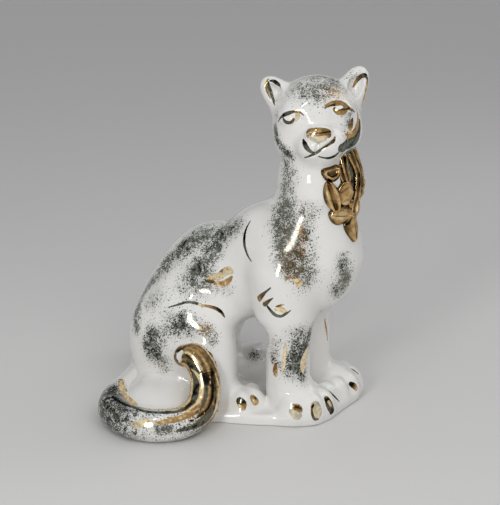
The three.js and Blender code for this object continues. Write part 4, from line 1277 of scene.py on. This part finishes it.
def keeled(across, along):
    midrib = 0.16 * np.exp(-(across / 0.07) ** 2)
    ridge = 0.42 + 0.58 * (1 - np.abs(across)) ** 0.8 + 0.1 * np.sin(np.pi * np.abs(across)) - midrib
    return dome(across) * ridge


def fluted(across, along):
    return dome(across) * (0.72 - 0.28 * np.cos(2 * np.pi * across))


def cupped(across, along):
    away = np.hypot(across, 2 * along - 1)
    rolled = np.exp(-((away - 0.62) / 0.2) ** 2)
    return np.clip(1.15 - away ** 6, 0, 1) * (0.4 + 0.6 * rolled) * dome(across)


def scaled_bud(across, along):
    row = (along * 2.4 - 0.5 * np.abs(across) + 0.3) % 1
    return dome(across, 2) * (0.7 + 0.3 * (1 - row) ** 0.6)


# How a sprig's width runs along it: how far its widest part lies towards the tip, and how sharp its ends are
LEAF_EDGE = (1.35, 0.8)
POINTED_EDGE = (0.75, 0.9)
ROUND_EDGE = (1, 0.55)

# Each sprig's x, drop below the garland's top, length, width and lean, then its edge and its rise
SPRIGS = {}
for side, hand in ((-1, "right"), (1, "left")):
    SPRIGS["garland_petal_" + hand] = (side * 17, 7.5, 13, 13, side * 10, ROUND_EDGE, cupped)
    SPRIGS["garland_bud_" + hand] = (side * 11.5, 21, 16, 13, 0, ROUND_EDGE, scaled_bud)
    SPRIGS["garland_leaf_" + hand] = (side * 18.5, 22.5, 22, 11, -side * 28, ROUND_EDGE, fluted)
    SPRIGS["garland_lower_leaf_" + hand] = (side * 9.5, 35, 22, 14, side * 96, LEAF_EDGE, keeled)
SPRIGS["garland_tip_leaf"] = (-2.5, 45, 18, 15, -8, POINTED_EDGE, keeled)


# How deep a sprig is rooted in the clay, in millimetres, and the rows and columns of its points
SPRIG_ROOT = 1.2
SPRIG_ROWS = 56
SPRIG_COLUMNS = 33


def make_sprig(name):
    """A pressed sprig: its edge gives the half width along it and its rise the relief, on the chest."""
    x, drop, long, wide, lean, edge, rise = SPRIGS[name]
    relief = bpy.context.scene.figurine_garland.relief / MM
    spot = on_chest(x, drop)[None]
    outward = unit(slope_of(TORSO, spot, TORSO(spot), 0.5)[0])
    lean = math.radians(lean)
    down = np.array([math.sin(lean), 0, -math.cos(lean)])
    down = unit(down - outward * (down @ outward))
    across_way = np.cross(outward, down)
    rows, columns = SPRIG_ROWS, SPRIG_COLUMNS
    widest, sharpness = edge
    along, across = np.meshgrid(np.linspace(0.012, 0.988, rows), np.linspace(-1, 1, columns), indexing="ij")
    half = np.sin(np.pi * along ** widest) ** sharpness
    flat = spot + (across * half * wide / 2).reshape(-1, 1) * across_way
    flat = flat + ((along - 0.5) * long).reshape(-1, 1) * down
    base, out = settle(flat, 6, 2)
    height = np.clip(rise(across, along), 0, 1) * np.clip(np.sin(np.pi * along) * 3.5, 0, 1) ** 0.5
    height = height.reshape(-1)
    top = base + out * (height * relief)[:, None]
    under = base - out * SPRIG_ROOT
    grid = np.arange(rows * columns).reshape(rows, columns)
    ring = np.hstack([grid, grid[:, ::-1] + rows * columns])
    after = np.roll(ring, -1, 1)
    a, b, c, d = (part.reshape(-1) for part in (ring[:-1], after[:-1], after[1:], ring[1:]))
    faces = [np.stack([a, c, b], 1), np.stack([a, d, c], 1)]
    for end, turn in ((ring[0], 1), (ring[-1], -1)):
        fan = np.stack([np.full(len(end) - 2, end[0]), end[1:-1], end[2:]], 1)
        faces.append(fan[:, ::turn])
    # The relief, kept on the points, is what the gold's painted shade and painted highlight follow
    layers = {"relief": np.concatenate([height, np.zeros(len(height))])}
    piece = mesh_object(name + "_sprig", np.vstack([top, under]), np.vstack(faces), None, layers)
    piece.data.materials.append(gilded_sprig())
    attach(piece, "root")
    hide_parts(name)


STRANDS = {
    "garland_stem": [(0, 0), (2, 11), (-1, 22), (1, 32), (1, 40)],
    "garland_ribbon_right": [(-9, 0), (-10, 6), (-10, 12)],
    "garland_ribbon_left": [(9, 0), (10, 6), (10, 12)],
}


def baked_piece(name, points, tree, values, attributes=None):
    """Runs a Geometry Nodes tree on loose or joined points and keeps its result as a plain mesh."""
    mesh = bpy.data.meshes.new(name + "_line")
    joined = [(i, i + 1) for i in range(len(points) - 1)] if attributes else []
    mesh.from_pydata([Vector(p) * MM for p in np.asarray(points).tolist()], joined, [])
    store(mesh, attributes)
    source = linked(name + "_line", mesh)
    modifier = source.modifiers.new("nodes", "NODES")
    modifier.node_group = tree
    for socket in tree.interface.items_tree:
        if socket.name in values:
            modifier[socket.identifier] = values[socket.name]
    ready = source.evaluated_get(bpy.context.evaluated_depsgraph_get())
    made = linked(name, bpy.data.meshes.new_from_object(ready))
    made.data.name = name
    bpy.data.objects.remove(source)
    if not len(made.data.polygons):
        raise RuntimeError(name + " came out empty")
    return made


def new_tree(name, sizes):
    tree = bpy.data.node_groups.new(name, "GeometryNodeTree")
    tree.interface.new_socket("Geometry", in_out="INPUT", socket_type="NodeSocketGeometry")
    for label, kind, default in sizes:
        tree.interface.new_socket(label, in_out="INPUT", socket_type=kind).default_value = default
    tree.interface.new_socket("Geometry", in_out="OUTPUT", socket_type="NodeSocketGeometry")
    return tree, node(tree, "NodeGroupInput")


def gilt_end(tree, shape):
    """The end of a garland tree: its shape made real, shaded smooth and gilded."""
    real = node(tree, "GeometryNodeRealizeInstances", Geometry=shape)
    smooth = node(tree, "GeometryNodeSetShadeSmooth", Geometry=real)
    gilt = node(tree, "GeometryNodeSetMaterial", Geometry=smooth, Material=gilded_sprig())
    node(tree, "NodeGroupOutput", Geometry=gilt)
    return tree


def fluted_strand_tree():
    """A strand with fluted sides along a line, as thick as the line's own thickness says."""
    tree, sizes = new_tree("fluted_strand", [
        ("Flutes", "NodeSocketInt", 7), ("Flute depth", "NodeSocketFloat", 0.16)])
    thick = node(tree, "GeometryNodeInputNamedAttribute", {"data_type": "FLOAT"}, Name="thickness")
    line = node(tree, "GeometryNodeMeshToCurve", Mesh=sizes.outputs["Geometry"])
    circle = node(tree, "GeometryNodeCurvePrimitiveCircle", Resolution=56, Radius=1.0)
    place = node(tree, "GeometryNodeInputPosition")
    parts = node(tree, "ShaderNodeSeparateXYZ", Vector=place)
    angle = node(tree, "ShaderNodeMath", "ARCTAN2", i0=parts.outputs[1], i1=parts)
    turns = node(tree, "ShaderNodeMath", "MULTIPLY", i0=angle, i1=sizes.outputs["Flutes"])
    wave = node(tree, "ShaderNodeMath", "COSINE", i0=turns)
    push = node(tree, "ShaderNodeMath", "MULTIPLY", i0=wave, i1=sizes.outputs["Flute depth"])
    moved = node(tree, "ShaderNodeVectorMath", "SCALE", Vector=place, Scale=push)
    profile = node(tree, "GeometryNodeSetPosition", Geometry=circle, Offset=moved)
    # The flutes' floors get low relief, so the gold is painted dark in them as painted shade
    depth = node(tree, "ShaderNodeMath", "MULTIPLY_ADD", i0=wave, i1=0.35, i2=0.6)
    marked = node(tree, "GeometryNodeStoreNamedAttribute", Geometry=profile, Name="relief", Value=depth)
    rod = node(tree, "GeometryNodeCurveToMesh", Curve=line, Profile_Curve=marked,
               Scale=thick, Fill_Caps=True)
    return gilt_end(tree, rod)


def make_strand(name, radius, flutes):
    spots = np.array([on_chest(x, drop) for x, drop in STRANDS[name]])
    line = strand(spots, 10)
    run = np.concatenate([[0], np.cumsum(length(np.diff(line, axis=0)))])
    first = line[0] - (line[1] - line[0]) / length((line[1] - line[0])[None]) * radius
    last = line[-1] + (line[-1] - line[-2]) / length((line[-1] - line[-2])[None]) * radius
    ends = np.array([0.999, 0.93, 0.8, 0.6, 0.35])
    starts = line[0] + (first - line[0]) * ends[:, None]
    finish = line[-1] + (last - line[-1]) * ends[::-1, None]
    swell = 0.95 + 0.2 * np.exp(-(run / radius / 1.6) ** 2)
    rounding = np.sqrt(1 - ends ** 2)
    thick = np.concatenate([rounding * swell[0], swell, rounding[::-1] * swell[-1]])
    piece = baked_piece(name + "_strand", np.vstack([starts, line, finish]), fluted_strand_tree(),
                        {"Flutes": flutes}, {"thickness": thick * 0.9 * radius * MM})
    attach(piece, "root")
    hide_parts(name)


BEADS = {"garland_bead_upper": (5.5, 27), "garland_bead_lower": (-4.5, 29)}


def bead_tree():
    """Oval beads, one on each point."""
    tree, sizes = new_tree("oval_beads", [("Radius", "NodeSocketFloat", 0.0026)])
    ball = node(tree, "GeometryNodeMeshIcoSphere", Radius=sizes.outputs["Radius"], Subdivisions=4)
    drawn = node(tree, "GeometryNodeTransform", Geometry=ball, Scale=(0.8, 1, 1.25))
    marked = node(tree, "GeometryNodeStoreNamedAttribute", Geometry=drawn, Name="relief", Value=0.85)
    spread = node(tree, "GeometryNodeInstanceOnPoints", Points=sizes.outputs["Geometry"], Instance=marked)
    return gilt_end(tree, spread)


# Lamps: place and size in metres. The key's own mirror image would hide the paint, so it has none
LAMP_AIM = (0, 0, 0.1)
LAMPS = {
    "key": ((-0.75, -0.8, 0.75), (0.9, 0.9)),
    "strip": ((-0.99, -0.04, 0.46), (0.15, 0.54)),
    "top": ((-0.5, 0.02, 0.96), (0.06, 0.14)),
    "rim": ((0.55, -0.55, 0.65), (0.35, 0.7)),
}


# The floor's half width in metres, and the room by height, from 0 at the horizon to 1 overhead: pale up to
# HORIZON_TOP, dark between the band's heights, and light from CANOPY_FROM
FLOOR_HALF = 9
HORIZON_TOP = 0.16
BAND_FROM = 0.27
BAND_TO = 0.42
CANOPY_FROM = 0.62


# Operators
class FIGURINE_OT_stage(bpy.types.Operator):
    """Floor, soft boxes, room light and the photograph's camera"""
    bl_idname = "figurine.stage"
    bl_label = "Stage"

    def execute(self, context):
        scene, stage = context.scene, context.scene.figurine_stage
        mesh = bpy.data.meshes.new("floor")
        corners = [(x * FLOOR_HALF, y * FLOOR_HALF, 0) for x, y in ((-1, -1), (1, -1), (1, 1), (-1, 1))]
        mesh.from_pydata(corners, [], [(0, 1, 2, 3)])
        floor = linked("floor", mesh)
        material, tree = new_material("pale_card_floor")
        place = node(tree, "ShaderNodeTexCoord").outputs["Object"]
        fibre = node(tree, "ShaderNodeTexNoise", Vector=place, Scale=900, Detail=2)
        bump = node(tree, "ShaderNodeBump", Height=fibre, Strength=0.2, Distance=0.1 * MM)
        shader = node(tree, "ShaderNodeBsdfPrincipled", Base_Color=stage.floor, Roughness=0.6, Normal=bump)
        node(tree, "ShaderNodeOutputMaterial", Surface=shader)
        mesh.materials.append(material)
        world = bpy.data.worlds.new("studio")
        scene.world = world
        world.use_nodes = True
        sky = world.node_tree
        around = node(sky, "ShaderNodeTexCoord").outputs["Generated"]
        upward = node(sky, "ShaderNodeSeparateXYZ", Vector=around)
        canopy = node(sky, "ShaderNodeValToRGB", Fac=upward.outputs[2])
        fill_ramp(canopy, stage.floor, (CANOPY_FROM, stage.studio), (HORIZON_TOP, stage.floor),
                  (BAND_FROM, stage.studio_dark), (BAND_TO, stage.studio_dark))
        sky.links.new(canopy.outputs[0], sky.nodes["Background"].inputs[0])
        sky.nodes["Background"].inputs[1].default_value = stage.studio_strength
        for name, (at, size) in LAMPS.items():
            lamp = bpy.data.lights.new(name, "AREA")
            lamp.shape = "RECTANGLE"
            lamp.size, lamp.size_y = size
            lamp.energy = getattr(stage, name + "_power")
            made = linked(name, lamp)
            made.location = at
            made.visible_glossy = name != "key"
            made.rotation_euler = (Vector(LAMP_AIM) - Vector(at)).to_track_quat("-Z", "Y").to_euler()
        lens = bpy.data.cameras.new("camera")
        lens.sensor_width = SENSOR_WIDTH
        lens.lens = FOCAL_PIXELS / PHOTO_HEIGHT * SENSOR_WIDTH
        camera = linked("camera", lens)
        camera.location = Vector(CAMERA_AT) * MM
        aim = Vector(CAMERA_LOOKS_AT) - Vector(CAMERA_AT)
        camera.rotation_euler = aim.to_track_quat("-Z", "Y").to_euler()
        scene.camera = camera
        scene.view_settings.view_transform = "Standard"
        return {"FINISHED"}


class FIGURINE_OT_body(bpy.types.Operator):
    """Plinth and body castings, with their lustre and spray"""
    bl_idname = "figurine.body"
    bl_label = "Plinth and body"

    def execute(self, context):
        make_castings("plinth", "body")
        return {"FINISHED"}


class FIGURINE_OT_head(bpy.types.Operator):
    """Head and both ears, with the painted face"""
    bl_idname = "figurine.head"
    bl_label = "Head and ears"

    def execute(self, context):
        make_castings("head", "right_ear", "left_ear")
        return {"FINISHED"}


class FIGURINE_OT_legs(bpy.types.Operator):
    """Both forelegs and both hind feet, with their painted claws"""
    bl_idname = "figurine.legs"
    bl_label = "Legs and feet"

    def execute(self, context):
        make_castings("right_foreleg", "left_foreleg", "right_hind_foot", "left_hind_foot")
        return {"FINISHED"}


class FIGURINE_OT_tail(bpy.types.Operator):
    """The curled tail, gilded on its rising end"""
    bl_idname = "figurine.tail"
    bl_label = "Tail"

    def execute(self, context):
        make_castings("tail")
        return {"FINISHED"}


class FIGURINE_OT_sprigs(bpy.types.Operator):
    """Petals, buds and leaves of the garland"""
    bl_idname = "figurine.sprigs"
    bl_label = "Garland leaves"

    def execute(self, context):
        for name in SPRIGS:
            make_sprig(name)
        return {"FINISHED"}


class FIGURINE_OT_strands(bpy.types.Operator):
    """Stem and ribbons of the garland"""
    bl_idname = "figurine.strands"
    bl_label = "Garland stem and ribbons"

    def execute(self, context):
        sizes = context.scene.figurine_garland
        make_strand("garland_stem", sizes.stem_radius / MM, 5)
        make_strand("garland_ribbon_right", sizes.ribbon_radius / MM, 6)
        make_strand("garland_ribbon_left", sizes.ribbon_radius / MM, 6)
        return {"FINISHED"}


class FIGURINE_OT_beads(bpy.types.Operator):
    """Beads of the garland"""
    bl_idname = "figurine.beads"
    bl_label = "Garland beads"

    def execute(self, context):
        radius = context.scene.figurine_garland.bead_radius
        for name, (x, drop) in BEADS.items():
            piece = baked_piece(name + "_oval", [on_chest(x, drop)], bead_tree(), {"Radius": radius})
            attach(piece, "root")
            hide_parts(name)
        return {"FINISHED"}


class FIGURINE_PT_panel(bpy.types.Panel):
    """The figurine's operators and what can be set on it"""
    bl_idname = "FIGURINE_PT_panel"
    bl_label = "Seated Cougar Figurine"
    bl_space_type = "VIEW_3D"
    bl_region_type = "UI"
    bl_category = "Figurine"

    def draw(self, context):
        for step in OPERATORS:
            self.layout.operator(step.bl_idname)
        for group in GROUPS:
            settings = getattr(context.scene, group)
            for label in settings.bl_rna.properties.keys()[2:]:
                self.layout.prop(settings, label)


OPERATORS = (FIGURINE_OT_stage, FIGURINE_OT_body, FIGURINE_OT_head, FIGURINE_OT_legs, FIGURINE_OT_tail,
             FIGURINE_OT_sprigs, FIGURINE_OT_strands, FIGURINE_OT_beads)
GROUPS = {"figurine_skin": FigurineSkin, "figurine_paint": FigurinePaint,
          "figurine_garland": FigurineGarland, "figurine_stage": FigurineStage}


def register():
    for kind in (*GROUPS.values(), *OPERATORS, FIGURINE_PT_panel):
        bpy.utils.register_class(kind)
    for label, group in GROUPS.items():
        setattr(bpy.types.Scene, label, PointerProperty(type=group))


def unregister():
    for label in GROUPS:
        delattr(bpy.types.Scene, label)
    for kind in (FIGURINE_PT_panel, *reversed(OPERATORS), *reversed(GROUPS.values())):
        bpy.utils.unregister_class(kind)


def main():
    register()
    for step in ("stage", "body", "head", "legs", "tail", "sprigs", "strands", "beads"):
        getattr(bpy.ops.figurine, step)()


if __name__ == "__main__":
    main()
